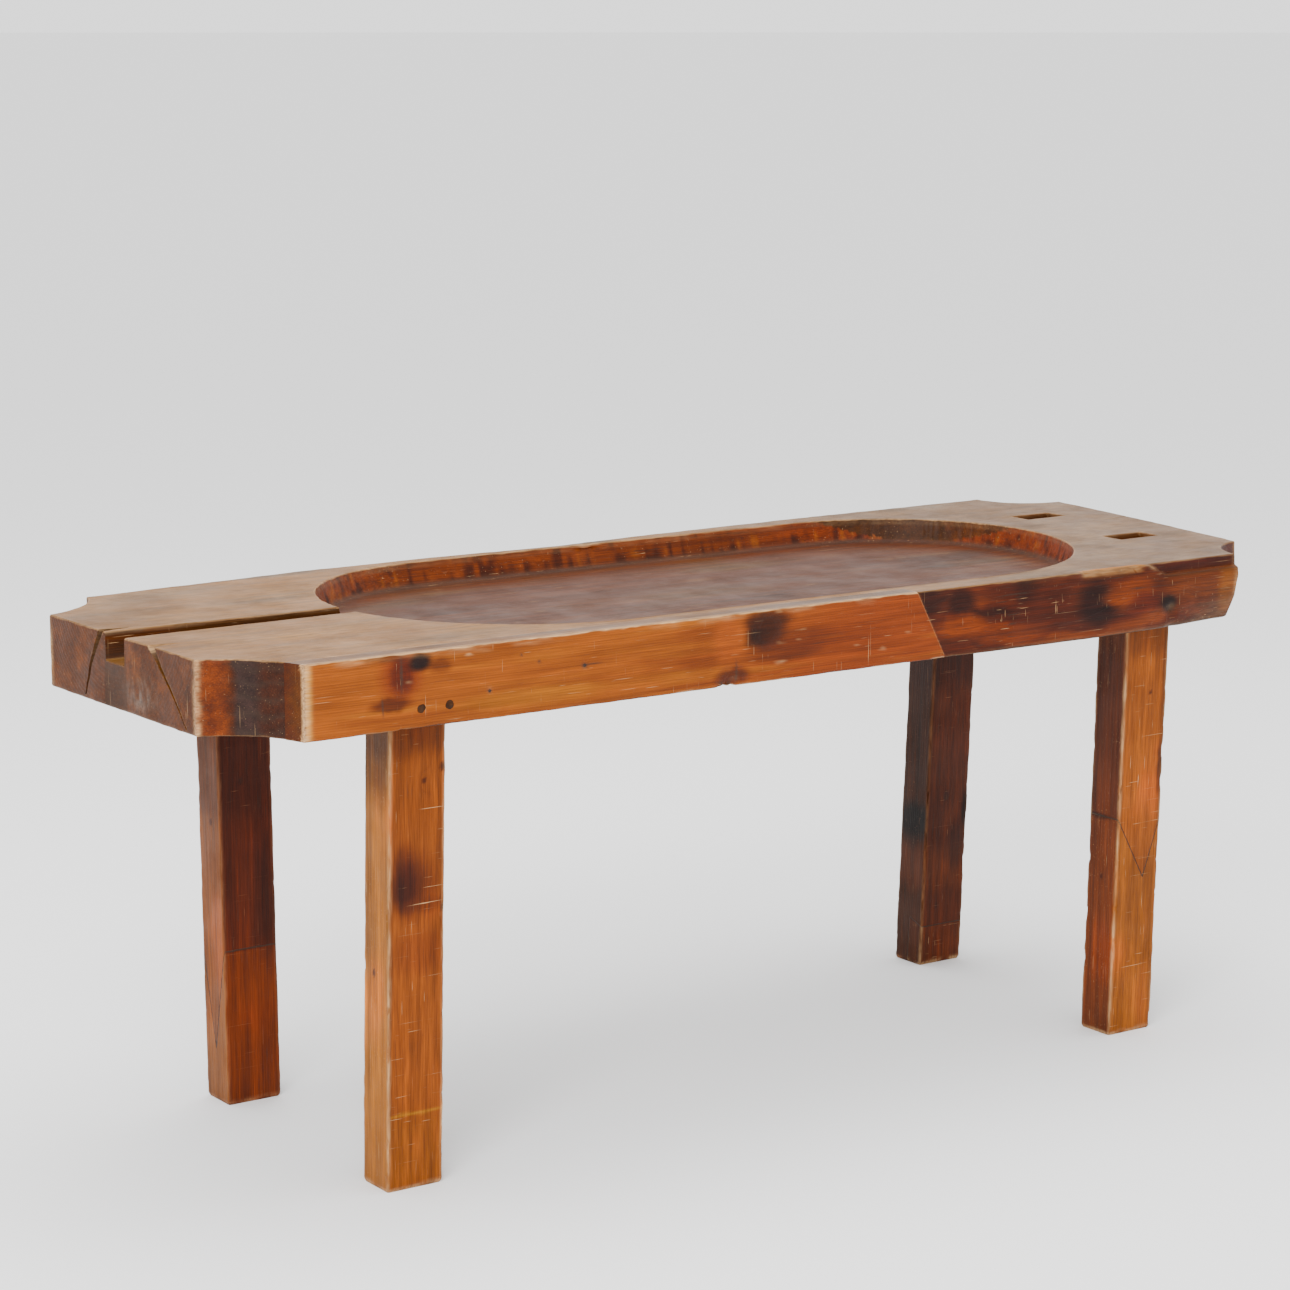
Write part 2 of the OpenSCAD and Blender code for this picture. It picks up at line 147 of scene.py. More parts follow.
class StudioSettings(bpy.types.PropertyGroup):
    place: bpy.props.FloatVectorProperty(name="Camera place", description="Where the camera stands",
                                         subtype="TRANSLATION", unit="LENGTH",
                                         default=(-2.8985, -4.0861, 1.55086))
    turn: bpy.props.FloatProperty(name="Turn", description="Turn of the camera to the right",
                                  subtype="ANGLE", default=math.radians(34.580188))
    tilt: bpy.props.FloatProperty(name="Tilt", description="Tilt of the camera down",
                                  subtype="ANGLE", default=math.radians(10.333698))
    lens: bpy.props.FloatProperty(name="Lens", description="Focal length in millimetres on a "
                                  "36 mm sensor", default=95.407, min=1)
    floor: colour("Floor", "Pale studio floor", "#f2f2f2")
    key: bpy.props.FloatProperty(name="Key light", description="Power of the soft key light",
                                 subtype="POWER", default=260, min=0)


class TableSettings(bpy.types.PropertyGroup):
    slab: bpy.props.PointerProperty(type=SlabSettings, name="Slab", description="Hewn slab")
    board: bpy.props.PointerProperty(type=BoardSettings, name="Board", description="Front board")
    legs: bpy.props.PointerProperty(type=LegSettings, name="Legs", description="Square legs")
    pegs: bpy.props.PointerProperty(type=PegSettings, name="Pegs", description="Pegs and nails")
    studio: bpy.props.PointerProperty(type=StudioSettings, name="Studio", description="Studio")


def mm(metres):
    """A length in millimetres."""
    return metres * 1000


# Numbers on arrays


def ease(t):
    """Smooth step: 3 t^2 - 2 t^3 of t held between 0 and 1."""
    t = np.clip(t, 0, 1)
    return t * t * (3 - 2 * t)


def rise(x, low, high):
    """0 below low, 1 above high, with a smooth step between them."""
    return ease((x - low) / (high - low))


def hump(x, middle, half):
    """1 at the middle, falling to nothing as exp(-(distance / half)^2)."""
    return np.exp(-((x - middle) / half) ** 2)


def spot(p, place, radii, soft=0.35):
    """1 inside an ellipse or ball of these radii round place, 0 outside, over a soft border."""
    far = np.sqrt((((p - np.asarray(place, float)) / np.asarray(radii, float)) ** 2).sum(-1))
    return 1 - rise(far, 1 - soft, 1 + soft)


def lattice(x, y, z, seed):
    """Repeatable numbers from -1 to 1 at whole-number places, by mixing their bits."""
    h = (x * 374761393 + y * 668265263 + z * 974634599 + seed * 39916801) & 0xFFFFFFFF
    h = ((h ^ (h >> 13)) * 1274126177) & 0xFFFFFFFF
    h = h ^ (h >> 16)
    return (h & 0xFFFF) / 32767.5 - 1


def noise(p, size, seed=0):
    """Smooth noise from -1 to 1: the numbers at the eight corners of each cell, size millimetres
    wide, blended by the smooth step of the place in the cell."""
    q = p / np.asarray(size, float)
    base = np.floor(q)
    part = ease(q - base)
    base = base.astype(np.int64)
    total = np.zeros(p.shape[:-1])
    for corner in range(8):
        step = np.array([corner & 1, corner >> 1 & 1, corner >> 2 & 1])
        weight = np.prod(np.where(step == 1, part, 1 - part), axis=-1)
        total += weight * lattice(*np.moveaxis(base + step, -1, 0), seed)
    return total


def rough(p, size, seed=0, layers=3):
    """Layers of noise, each half as wide and half as strong as the one before."""
    total = sum(noise(p, np.asarray(size, float) / 2 ** k, seed + 17 * k) / 2 ** k
                for k in range(layers))
    return total / (2 - 2 ** (1 - layers))


def tint(base, over, share):
    """Colours mixed towards another colour by a share at each point."""
    return base + (np.asarray(over)[..., :3] - base) * np.clip(share, 0, 1)[:, None]


# Meshes


def grid_faces(rows, columns, wrap=True):
    """Quads between the points of a grid of rows by columns. The columns close on themselves."""
    i = np.arange(rows - 1)[:, None] * columns
    j = np.arange(columns if wrap else columns - 1)
    k = (j + 1) % columns
    return np.stack([i + j, i + k, i + columns + k, i + columns + j], -1).reshape(-1, 4)


def closed_mesh(name, grid, caps=False):
    """A closed mesh from a grid of points in millimetres, rows by columns by three. Points that
    fall together at a pole or along a spine are merged. Caps close the first and last rows."""
    rows, columns = grid.shape[:2]
    faces = grid_faces(rows, columns).tolist()
    if caps:
        faces += [list(range(columns))[::-1],
                  [(rows - 1) * columns + i for i in range(columns)]]
    mesh = bpy.data.meshes.new(name)
    mesh.from_pydata((grid.reshape(-1, 3) / 1000).tolist(), [], faces)
    work = bmesh.new()
    work.from_mesh(mesh)
    bmesh.ops.remove_doubles(work, verts=work.verts, dist=2e-6)
    bmesh.ops.recalc_face_normals(work, faces=work.faces)
    work.to_mesh(mesh)
    work.free()
    piece = bpy.data.objects.new(name, mesh)
    bpy.context.scene.collection.objects.link(piece)
    return piece


def prism(name, outline, start, end, axis):
    """A closed prism: an outline of two coordinates drawn straight along an axis (0, 1 or 2)
    from start to end. The outline's coordinates are the other two axes in their order."""
    outline = np.asarray(outline, float)
    rings = [np.insert(outline, axis, place, axis=1) for place in (start, end)]
    return closed_mesh(name, np.stack(rings), caps=True)


def carve(piece, cutters, operation="DIFFERENCE"):
    """Takes closed cutters that don't touch each other out of a piece in one exact boolean."""
    for other in cutters[1:]:
        work = bmesh.new()
        work.from_mesh(cutters[0].data)
        work.from_mesh(other.data)
        work.to_mesh(cutters[0].data)
        work.free()
    cut = piece.modifiers.new("carve", "BOOLEAN")
    cut.object = cutters[0]
    cut.operation = operation
    cut.solver = "EXACT"
    bpy.context.view_layer.update()
    seen = piece.evaluated_get(bpy.context.evaluated_depsgraph_get())
    mesh = bpy.data.meshes.new_from_object(seen)
    if len(mesh.polygons) < 6:
        raise RuntimeError("carving left nothing of " + piece.name)
    piece.modifiers.clear()
    piece.data = mesh
    for cutter in cutters:
        bpy.data.objects.remove(cutter)
    return piece


def points_of(piece):
    """Places of the vertices in millimetres, and their normals."""
    count = len(piece.data.vertices)
    place = np.zeros(count * 3)
    normal = np.zeros(count * 3)
    piece.data.vertices.foreach_get("co", place)
    piece.data.vertices.foreach_get("normal", normal)
    return place.reshape(-1, 3) * 1000, normal.reshape(-1, 3)


def paint(piece, tone, **values):
    """Writes the colour of each vertex as the attribute tone, and each named value as another."""
    data = piece.data
    layer = data.attributes.new("tone", "FLOAT_COLOR", "POINT")
    rgba = np.concatenate([np.clip(tone, 0, 1), np.ones((len(tone), 1))], axis=1)
    layer.data.foreach_set("color", rgba.astype(np.float32).ravel())
    for name, value in values.items():
        layer = data.attributes.new(name, "FLOAT", "POINT")
        layer.data.foreach_set("value", np.broadcast_to(value, len(tone)).astype(np.float32).copy())


def finish_piece(piece, material, nodes, crease=38):
    """Gives a piece its material, smooth faces with sharp creases, its body, nodes and slot."""
    mesh = piece.data
    mesh.materials.clear()
    mesh.materials.append(material)
    mesh.polygons.foreach_set("material_index", [0] * len(mesh.polygons))
    mesh.polygons.foreach_set("use_smooth", [True] * len(mesh.polygons))
    mesh.set_sharp_from_angle(angle=math.radians(crease))
    mesh.update()
    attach(piece, "root")
    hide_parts(*nodes)


# Materials


def add(tree, kind, inputs=None, ramp=None, **settings):
    """Adds a node: settings are its own properties, inputs its sockets, each a number, a colour
    or another node's output, and ramp the stops of a colour ramp as (place, grey)."""
    node = tree.nodes.new(kind)
    for name, value in settings.items():
        setattr(node, name, value)
    if ramp:
        stops = node.color_ramp.elements
        while len(stops) < len(ramp):
            stops.new(1)
        for stop, (place, grey) in zip(stops, ramp):
            stop.position = place
            stop.color = (grey, grey, grey, 1)
    for name, value in (inputs or {}).items():
        if isinstance(value, bpy.types.NodeSocket):
            tree.links.new(value, node.inputs[name])
        else:
            node.inputs[name].default_value = value
    return node


def value_of(tree, name):
    """The value of a vertex attribute."""
    return add(tree, "ShaderNodeAttribute", attribute_name=name).outputs["Fac"]


def maths(tree, operation, a, b=0.0):
    """The result of a sum on two values."""
    return add(tree, "ShaderNodeMath", {0: a, 1: b}, operation=operation, use_clamp=False).outputs[0]


def span(tree, value, low, high, to_low=0.0, to_high=1.0):
    """A value carried from one range to another and held at its ends."""
    return add(tree, "ShaderNodeMapRange", {"Value": value, "From Min": low, "From Max": high,
               "To Min": to_low, "To Max": to_high}, clamp=True).outputs["Result"]


def mix(tree, share, under, over, blend="MIX"):
    """Two colours mixed by a share."""
    node = add(tree, "ShaderNodeMix", {0: share, 6: under, 7: over}, data_type="RGBA",
               blend_type=blend)
    return node.outputs[2]


def stretched(tree, place, scale, turn=(0, 0, 0), detail=2.0, roughness=0.55):
    """Noise whose cells are 1/scale metres long on each axis, after a turn of the piece."""
    turned = add(tree, "ShaderNodeMapping", {"Vector": place, "Rotation": turn, "Scale": scale},
                 vector_type="POINT")
    return add(tree, "ShaderNodeTexNoise", {"Vector": turned.outputs[0], "Scale": 1.0,
               "Detail": detail, "Roughness": roughness}).outputs[0]


# How far painted tones are deepened, enriched and darkened
DEEPER, RICHER, DARKER = 1.3, 1.22, 0.56


def old_pine(name, along, ring_mm, late=0.5, fibre=0.35, pores=0.5, scratches=0.35,
             gloss=0.5, relief=0.35, worn=(0.6, 0.36, 0.17), dirt_and_shade_colour=(0.03, 0.018, 0.012)):
    """Old pine: tone is its painted colour and ring its place across the growth rings, in
    millimetres. Each ring ends in a thin dark line of late wood. Fibres run along the axis
    along, and wear, grime and seam are shares of pale wood, dirt_and_shade_colour and
    joint line. That dark colour paints real dirt, and also painted shade where grime
    marks recesses, creases and the places where parts meet."""
    material = bpy.data.materials.new(name)
    material.use_nodes = True
    tree = material.node_tree
    tree.nodes.clear()
    place = add(tree, "ShaderNodeTexCoord").outputs["Object"]

    def grain(long_mm, wide_mm, **more):
        scale = [1000 / wide_mm] * 3
        scale[along] = 1000 / long_mm
        return stretched(tree, place, scale, **more)

    # Fibres a little over one millimetre wide, and broader streaks a hand long
    fibres = grain(70, 1.3, detail=3)
    streaks = grain(240, 9, detail=3)
    checks = grain(60, 2.2, detail=2)
    blotch = stretched(tree, place, (14, 14, 14), detail=3)
    crumbs = stretched(tree, place, (420, 420, 420), detail=2)

    # Growth rings: the place across the rings, bent a little by the streaks
    bent = maths(tree, "MULTIPLY_ADD", maths(tree, "SUBTRACT", streaks, 0.5), 2.2)
    tree.links.new(value_of(tree, "ring"), bent.node.inputs[2])
    count = maths(tree, "DIVIDE", bent, ring_mm)
    year = add(tree, "ShaderNodeTexWhiteNoise", {"W": maths(tree, "FLOOR", count)},
               noise_dimensions="1D").outputs["Value"]
    late_line = add(tree, "ShaderNodeValToRGB", {"Fac": maths(tree, "FRACT", count)},
                    ramp=[(0.0, 0.25), (0.12, 0.0), (0.45, 0.06), (0.78, 0.45), (0.92, 1.0),
                          (1.0, 0.5)]).outputs["Color"]
    late_share = maths(tree, "MULTIPLY", late_line, span(tree, year, 0, 1, 0.45, 1.0))
    strength = value_of(tree, "figure")

    # The bright pale studio washes colours out, so the painted tone is deepened to stand up to it
    tone = add(tree, "ShaderNodeAttribute", attribute_name="tone").outputs["Color"]
    tone = add(tree, "ShaderNodeGamma", {"Color": tone, "Gamma": DEEPER}).outputs[0]
    tone = add(tree, "ShaderNodeHueSaturation", {"Color": tone, "Saturation": RICHER,
               "Value": DARKER}).outputs[0]
    wood = mix(tree, span(tree, blotch, 0.3, 0.7, 0.0, 0.38), tone,
               mix(tree, 1.0, tone, (0.62, 0.55, 0.5, 1), "MULTIPLY"))
    dark = mix(tree, 1.0, wood, (0.46, 0.36, 0.3, 1), "MULTIPLY")
    wood = mix(tree, maths(tree, "MULTIPLY", maths(tree, "MULTIPLY", late_share, strength), late),
               wood, dark)
    wood = mix(tree, fibre, wood, add(tree, "ShaderNodeValToRGB", {"Fac": fibres},
               ramp=[(0.3, 0.12), (0.5, 0.5), (0.7, 0.95)]).outputs["Color"], "OVERLAY")
    wood = mix(tree, fibre * 0.9, wood, add(tree, "ShaderNodeValToRGB", {"Fac": streaks},
               ramp=[(0.34, 0.15), (0.5, 0.5), (0.68, 0.9)]).outputs["Color"], "OVERLAY")

    # Thin open checks and dirt that has settled in them, and the grime attribute: real
    # dirt, and also painted shade in recesses, creases and where parts meet
    check_share = maths(tree, "MULTIPLY", span(tree, checks, 0.64, 0.7),
                        span(tree, blotch, 0.42, 0.6, 0.15, 1.0))
    grime = value_of(tree, "grime")
    dirt_and_shade = maths(tree, "MAXIMUM", maths(tree, "MULTIPLY", check_share, pores),
                  maths(tree, "MULTIPLY", grime, span(tree, crumbs, 0.25, 0.62, 1.0, 0.55)))
    dirt_and_shade = maths(tree, "MAXIMUM", dirt_and_shade,
                  maths(tree, "MULTIPLY", span(tree, crumbs, 0.68, 0.74), pores))
    seam = span(tree, value_of(tree, "seam"), 0.55, 1.15, 0.9, 0.0)
    wood = mix(tree, maths(tree, "MAXIMUM", dirt_and_shade, seam), wood, (*dirt_and_shade_colour, 1))

    # Pale scratches and knocks, in three directions
    marks = [stretched(tree, place, (9, 640, 640), (0.0, 0.5, 0.35), detail=1),
             stretched(tree, place, (640, 640, 16), (0.35, -0.3, 0.2), detail=1),
             stretched(tree, place, (22, 520, 520), (0.3, -0.9, -0.8), detail=1)]
    lines = maths(tree, "MAXIMUM", span(tree, marks[0], 0.735, 0.78),
                  maths(tree, "MAXIMUM", span(tree, marks[1], 0.74, 0.78),
                        span(tree, marks[2], 0.74, 0.79)))
    lines = maths(tree, "MULTIPLY", lines, span(tree, blotch, 0.4, 0.58, 0.25, 1.0))
    pale = maths(tree, "MAXIMUM", maths(tree, "MULTIPLY", lines, scratches),
                 maths(tree, "MULTIPLY", value_of(tree, "wear"),
                       span(tree, grain(26, 3.0, detail=3), 0.3, 0.62, 0.25, 1.0)))
    wood = mix(tree, pale, wood, (*worn, 1))

    height = maths(tree, "MULTIPLY", late_share, strength)
    height = maths(tree, "ADD", height, maths(tree, "MULTIPLY", fibres, 1.1))
    height = maths(tree, "SUBTRACT", height, maths(tree, "MULTIPLY", check_share, 2.5 * pores))
    height = maths(tree, "SUBTRACT", height, maths(tree, "MULTIPLY", lines, 0.9))
    height = maths(tree, "SUBTRACT", height, maths(tree, "MULTIPLY", seam, 3.0))
    bump = add(tree, "ShaderNodeBump", {"Height": height, "Strength": relief, "Distance": 0.0007})
    shine = span(tree, maths(tree, "ADD", blotch, maths(tree, "MULTIPLY", dirt_and_shade, 0.4)),
                 0.35, 1.0, gloss - 0.08, gloss + 0.22)
    shader = add(tree, "ShaderNodeBsdfPrincipled", {"Base Color": wood, "Roughness": shine,
                 "Normal": bump.outputs[0], "IOR": 1.47, "Specular IOR Level": 0.14})
    add(tree, "ShaderNodeOutputMaterial", {"Surface": shader.outputs[0]})
    return material


# Slab


class SlabPlan:
    """The slab's outline and basin in plan, in the frame's millimetres."""

    def __init__(self, slab):
        half = (HIGH[0] - LOW[0]) / 2
        self.top = HIGH[2]
        self.under = self.top - mm(slab.thickness)
        self.front = LOW[1] + 7
        self.floor = self.top - mm(slab.basin_depth)
        far, taper, scoop = HIGH[1], 56, 98
        self.a = np.array([-half + 6, self.front + 112])
        self.b = np.array([-half + scoop + 6, self.front])
        self.c = np.array([half - 71 - scoop + 6, self.front])
        self.d = np.array([half - 71, self.front + scoop])
        self.e = np.array([half, far - scoop])
        self.f = np.array([half - scoop, far])
        self.g = np.array([-half + scoop + 6, far - taper])
        self.h = np.array([-half, far - taper - 104])
        self.corners = [self.a, self.b, self.c, self.d, self.e, self.f, self.g, self.h]
        # Wane of the far edge: share of its length from the left, and rise over the straight line
        wane = np.array([[0, 0], [0.21, 19], [0.34, 16], [0.48, -3], [0.6, 8], [0.77, 9], [1, 0]])
        along = self.g + (self.f - self.g) * wane[:, :1]
        self.wane_x, self.wane_y = along[:, 0], along[:, 1] + wane[:, 1]
        self.radius = mm(slab.basin_width) / 2
        self.skew = 0.12
        self.mid_y = self.front + mm(slab.rim) + self.radius
        self.left_x = -half + mm(slab.basin_end) + self.radius
        self.right_x = -half + mm(slab.basin_end) + mm(slab.basin_length) - self.radius

    def far_y(self, x):
        """Height in plan of the waned far edge at x."""
        return np.interp(x, self.wane_x, self.wane_y)


def bow(p, q, hollow, count):
    """Points on a shallow arc from p to q: p + (q - p) t + side 4 hollow t (1 - t)."""
    t = np.linspace(0, 1, count, endpoint=False)[:, None]
    along = q - p
    side = np.array([-along[1], along[0]]) / np.hypot(*along)
    return p + along * t + side * 4 * hollow * t * (1 - t)


def slab_columns(plan):
    """For each column round the slab: its outline point, its point on the basin's spine, and the
    way from the spine to the basin's rim, whose length times the radius reaches the rim. Straight
    stretches share their spine points, and round ends fan out from the two end centres."""
    mid = np.linspace(0, 1, 150, endpoint=False)[:, None]
    spine = np.array([[plan.left_x, plan.mid_y]]) + mid * [plan.right_x - plan.left_x, 0]
    near_way = np.concatenate([-plan.skew * mid, -np.ones_like(mid)], 1)
    near_out = spine + near_way * (plan.mid_y - plan.front)
    right = np.array([plan.right_x, plan.mid_y])
    left = np.array([plan.left_x, plan.mid_y])
    start = right + [-plan.skew * (plan.mid_y - plan.front), plan.front - plan.mid_y]
    far_start_x = plan.right_x + plan.skew * (plan.far_y(plan.right_x + 40) - plan.mid_y)
    x = np.linspace(plan.f[0], far_start_x, 70, endpoint=False)
    far_right = np.stack([x, plan.far_y(x)], 1)
    right_out = np.concatenate([bow(start, plan.c, 0, 138), bow(plan.c, plan.d, 22, 42),
                                bow(plan.d, plan.e, -4, 100), bow(plan.e, plan.f, 32, 35),
                                far_right])
    flat = right_out - right
    angle = np.arctan2(flat[:, 1], flat[:, 0] - plan.skew * flat[:, 1])
    right_way = np.stack([np.cos(angle) + plan.skew * np.sin(angle), np.sin(angle)], 1)
    far_mid = mid[::-1] + mid[1] - mid[0]
    far_spine = left + far_mid * (right - left)
    x = far_spine[:, 0]
    for _ in range(3):
        x = far_spine[:, 0] + plan.skew * far_mid[:, 0] * (plan.far_y(x) - plan.mid_y)
    far_out = np.stack([x, plan.far_y(x)], 1)
    far_way = np.concatenate([plan.skew * far_mid, np.ones_like(mid)], 1)
    x = np.linspace(plan.left_x, plan.g[0], 92, endpoint=False)
    far_left = np.stack([x, plan.far_y(x)], 1)
    left_out = np.concatenate([far_left, bow(plan.g, plan.h, 20, 36), bow(plan.h, plan.a, 0, 132),
                               bow(plan.a, plan.b, 20, 55),
                               bow(plan.b, np.array([plan.left_x, plan.front]), 0, 110)])
    flat = left_out - left
    angle = np.arctan2(flat[:, 1], flat[:, 0])
    left_way = np.stack([np.cos(angle), np.sin(angle)], 1)
    outline = np.concatenate([near_out, right_out, far_out, left_out])
    spines = np.concatenate([spine, np.tile(right, (len(right_out), 1)), far_spine,
                             np.tile(left, (len(left_out), 1))])
    ways = np.concatenate([near_way, right_way, far_way, left_way])
    return outline, spines, ways


def log_move(plan, outline, z):
    """How far the side moves in at each height and column. The log bulges past the front board,
    and is hewn, rebated and chipped."""
    x, y = outline[:, 0], outline[:, 1]
    height = np.clip(z - plan.under, 0, 101)
    front = (y < plan.front + 1) & (x < plan.c[0] + 1)
    share = np.where(front, np.clip((x - 208) / 120, 0, 1), 0)
    bulge = np.interp(height, [0, 3, 35, 70, 98, 101], [0.6, 0.8, 1, 0.6, 0.1, 0])
    p = np.stack(np.broadcast_arrays(x, y, z), -1)
    on_log = rise(x, 150, 260) * (y < plan.d[1] + 20)
    at_far = (y > plan.h[1] + 60) & (x < plan.f[0])
    hewn = 0.5 + 1.6 * on_log + 1.5 * at_far
    move = -7 * bulge * share
    move = move + hewn * (0.5 + 0.5 * rough(p, (95, 60, 34), 3)) + 0.35 * rough(p, (30, 16, 9), 8)
    # Flat rebate at the top right, with a slanting end
    edge = 598 + 2 * (plan.top - z)
    rebate = rise(x, edge - 2, edge + 3) * rise(z, plan.top - 19.5, plan.top - 17) * front
    move = move * (1 - rebate) + rebate * 5
    # Fresh chip broken from the top edge, deepest at the edge itself
    ragged = 12 + 4 * noise(p, (14, 14, 14), 21) + 4 * noise(p, (50, 50, 50), 22)
    chip = rise(x, 458, 478) * (1 - rise(x, 580, 597)) * rise(z, plan.top - ragged - 2, plan.top)
    move = move + 6.5 * chip * front
    # Pit round the broken peg, and the bruised lower edge beside it
    pit = hump(x, 647, 10) * hump(z, plan.under + 27, 9) * front
    move = move + 4.5 * pit + 3 * hump(x, 655, 14) * rise(plan.under + 10 - z, 0, 8) * front
    return move


def side_row(plan, outline, inward, z, extra):
    """A row of the side at the heights z: each point moves in by the log's own move and some
    more. Round the front right corner the log rolls under, by up to 24 mm at the underside. All
    points there roll the same way, so that neighbours never cross."""
    roll = np.exp(-(np.hypot(outline[:, 0] - plan.c[0], outline[:, 1] - plan.c[1]) / 120) ** 2)
    under = np.interp(np.clip(z - plan.under, 0, 101), [0, 3, 35, 70, 101], [1, 0.85, 0.4, 0, 0])
    move = log_move(plan, outline, z) + extra
    place = outline + inward * move[:, None] + np.outer(24 * under * roll, [-0.36, 0.93])
    return np.concatenate([place, np.broadcast_to(z, len(outline))[:, None]], 1)


def slab_grid(slab, plan):
    """Points of the slab as a closed sheet over rows and columns. Each column starts on the spine
    of the basin floor and runs out over the cove, wall, rim, top, side and underside back to it."""
    outline, spine, way = slab_columns(plan)
    step = np.roll(outline, -1, 0) - np.roll(outline, 1, 0)
    inward = np.stack([-step[:, 1], step[:, 0]], 1) / np.hypot(step[:, 0], step[:, 1])[:, None]
    # The way in turns gradually past a corner, so that moved points don't cross
    inward = sum(np.roll(inward, k, 0) for k in range(-4, 5))
    inward = inward / np.hypot(inward[:, 0], inward[:, 1])[:, None]
    flat3 = np.concatenate([outline, np.zeros((len(outline), 1))], 1)
    worn = mm(slab.arris) * (1 + 0.45 * rough(flat3, (60, 60, 60), 31) + 0.3 * noise(
        flat3, (14, 14, 14), 32))
    rim_place = np.concatenate([spine + way * plan.radius, np.zeros((len(way), 1))], 1)
    walk = np.concatenate([[0], np.cumsum(np.hypot(*np.diff(rim_place[:, :2], axis=0).T))])
    # Gouge marks: scallops of uneven width and depth along the wall
    phase = walk / mm(slab.gouge) + 0.9 * noise(rim_place, (40, 40, 40), 41)
    cell = np.floor(phase).astype(np.int64)
    bite = 0.9 + 0.8 * lattice(cell, cell * 0, cell * 0, 5)
    gouge = bite * (1 - (2 * (phase - cell) - 1) ** 2)
    dent = hump(rim_place[:, 0], 15, 26) * (rim_place[:, 1] > plan.mid_y)
    slope, cove, arris = 8, 10, 3

    def ring(inset, z, lift=0.0):
        place = spine + way * (plan.radius - inset)[:, None]
        return np.concatenate([place, np.broadcast_to(z + lift, len(way))[:, None]], 1)

    rows = []
    for k in range(14):
        rows.append(ring(plan.radius - (plan.radius - arris - slope - cove) * k / 14
                         + 0 * walk, plan.floor))
    for k in range(5):
        t = math.radians(22.5 * k)
        rows.append(ring(arris + slope + cove * (1 - math.sin(t)) - gouge * k / 6,
                         plan.floor + cove * (1 - math.cos(t))))
    for k in range(1, 6):
        t = k / 6
        rows.append(ring(arris + slope * (1 - t) - gouge * (1 - 0.6 * t) - 3 * dent * t,
                         plan.floor + cove + (plan.top - arris - plan.floor - cove) * t))
    rim_worn = worn * 0.9 + 3.5 * dent
    for k in range(4):
        t = math.radians(30 * k)
        rows.append(ring(arris + (rim_worn) * (math.cos(t) - 1) - gouge * 0.35,
                         plan.top + rim_worn * (math.sin(t) - 1)))
    # Top: from the worn rim to the worn outer arris
    near_edge = side_row(plan, outline, inward, np.full(len(outline), plan.top), worn)
    rim = rows[-1]
    for k in range(1, 23):
        t = k / 22
        t = t * 0.7 + 0.3 * ease(t)
        rows.append(rim + (near_edge - rim) * t)
    for k in range(1, 4):
        t = math.radians(30 * k)
        z = plan.top - worn * (1 - math.cos(t))
        rows.append(side_row(plan, outline, inward, z, worn * (1 - math.sin(t))))
    for k in range(1, 22):
        z = plan.top - worn + (plan.under - plan.top + 2 * worn) * k / 22
        rows.append(side_row(plan, outline, inward, z, 0))
    for k in range(4):
        t = math.radians(30 * k)
        z = plan.under + worn * (1 - math.sin(t))
        rows.append(side_row(plan, outline, inward, z, worn * (1 - math.cos(t))))
    low_edge = rows[-1]
    centre = np.concatenate([spine, np.full((len(spine), 1), plan.under)], 1)
    for k in range(1, 7):
        rows.append(low_edge + (centre - low_edge) * k / 6)
    grid = np.stack(rows)
    # The floor and the top are worn into shallow hollows
    z = grid[..., 2]
    on_floor = np.zeros(z.shape)
    on_floor[:15] = 1
    on_top = np.zeros(z.shape)
    on_top[28:50] = 1
    wear = 0.9 * rough(grid, (170, 60, 60), 51) + 0.3 * noise(grid, (40, 14, 14), 52)
    grid[..., 2] += on_floor * wear - on_top * (0.5 + 0.5 * wear)
    return np.clip(grid, LOW, HIGH)


def trough(stations, half_width, floor_z, top_z, corner, flare=2.5, seed=0):
    """A cutter for a channel along X: U sections with rounded bottom corners, flared at the top
    edge, roughened by a fine noise. Widths and floors are given at each station."""
    turn = np.radians(np.linspace(0, 90, 5))
    side_z = np.linspace(0.15, 1, 7)
    rows = []
    for x, half, low in zip(stations, half_width, floor_z):
        base = [(half - corner + corner * math.sin(t), low + corner * (1 - math.cos(t)))
                for t in turn]
        wall = [(half, low + corner + (top_z - 2.5 - low - corner) * s) for s in side_z]
        lip = [(half + flare, top_z + 0.4), (half + flare, top_z + 8)]
        right = np.array([(half * 0.3, low), (half * 0.65, low)] + base + wall + lip)
        left = right[::-1] * [-1, 1]
        section = np.concatenate([right, left])
        rows.append(np.insert(section, 0, x, axis=1))
    grid = np.stack(rows)
    grid[..., 1] += 0.5 * noise(grid, (26, 9, 9), seed)
    return grid


def mortise_cutter(name, x, y, size_x, size_y, low, high, seed):
    """A cutter for a mortise: rectangular sections up Z with rough walls and a flared mouth."""
    side = np.linspace(-1, 1, 13)[:-1]
    square = np.concatenate([np.stack([side, -np.ones(12)], 1), np.stack([np.ones(12), side], 1),
                             np.stack([-side, np.ones(12)], 1), np.stack([-np.ones(12), -side], 1)])
    levels = np.concatenate([[low - 3], np.linspace(low, high - 2, 16), [high + 0.4, high + 6]])
    grow = np.interp(levels, [low, high - 2, high + 0.4, high + 6], [0, 0, 2.2, 2.2])
    half = np.array([size_x, size_y]) / 2
    flat = square[None] * (half[None] + grow[:, None])[:, None, :] + [x, y]
    grid = np.concatenate([flat, np.broadcast_to(levels[:, None, None], (*flat.shape[:2], 1))], 2)
    grid[..., :2] += 0.6 * noise(grid, (9, 9, 16), seed)[..., None]
    return closed_mesh(name, grid, caps=True)


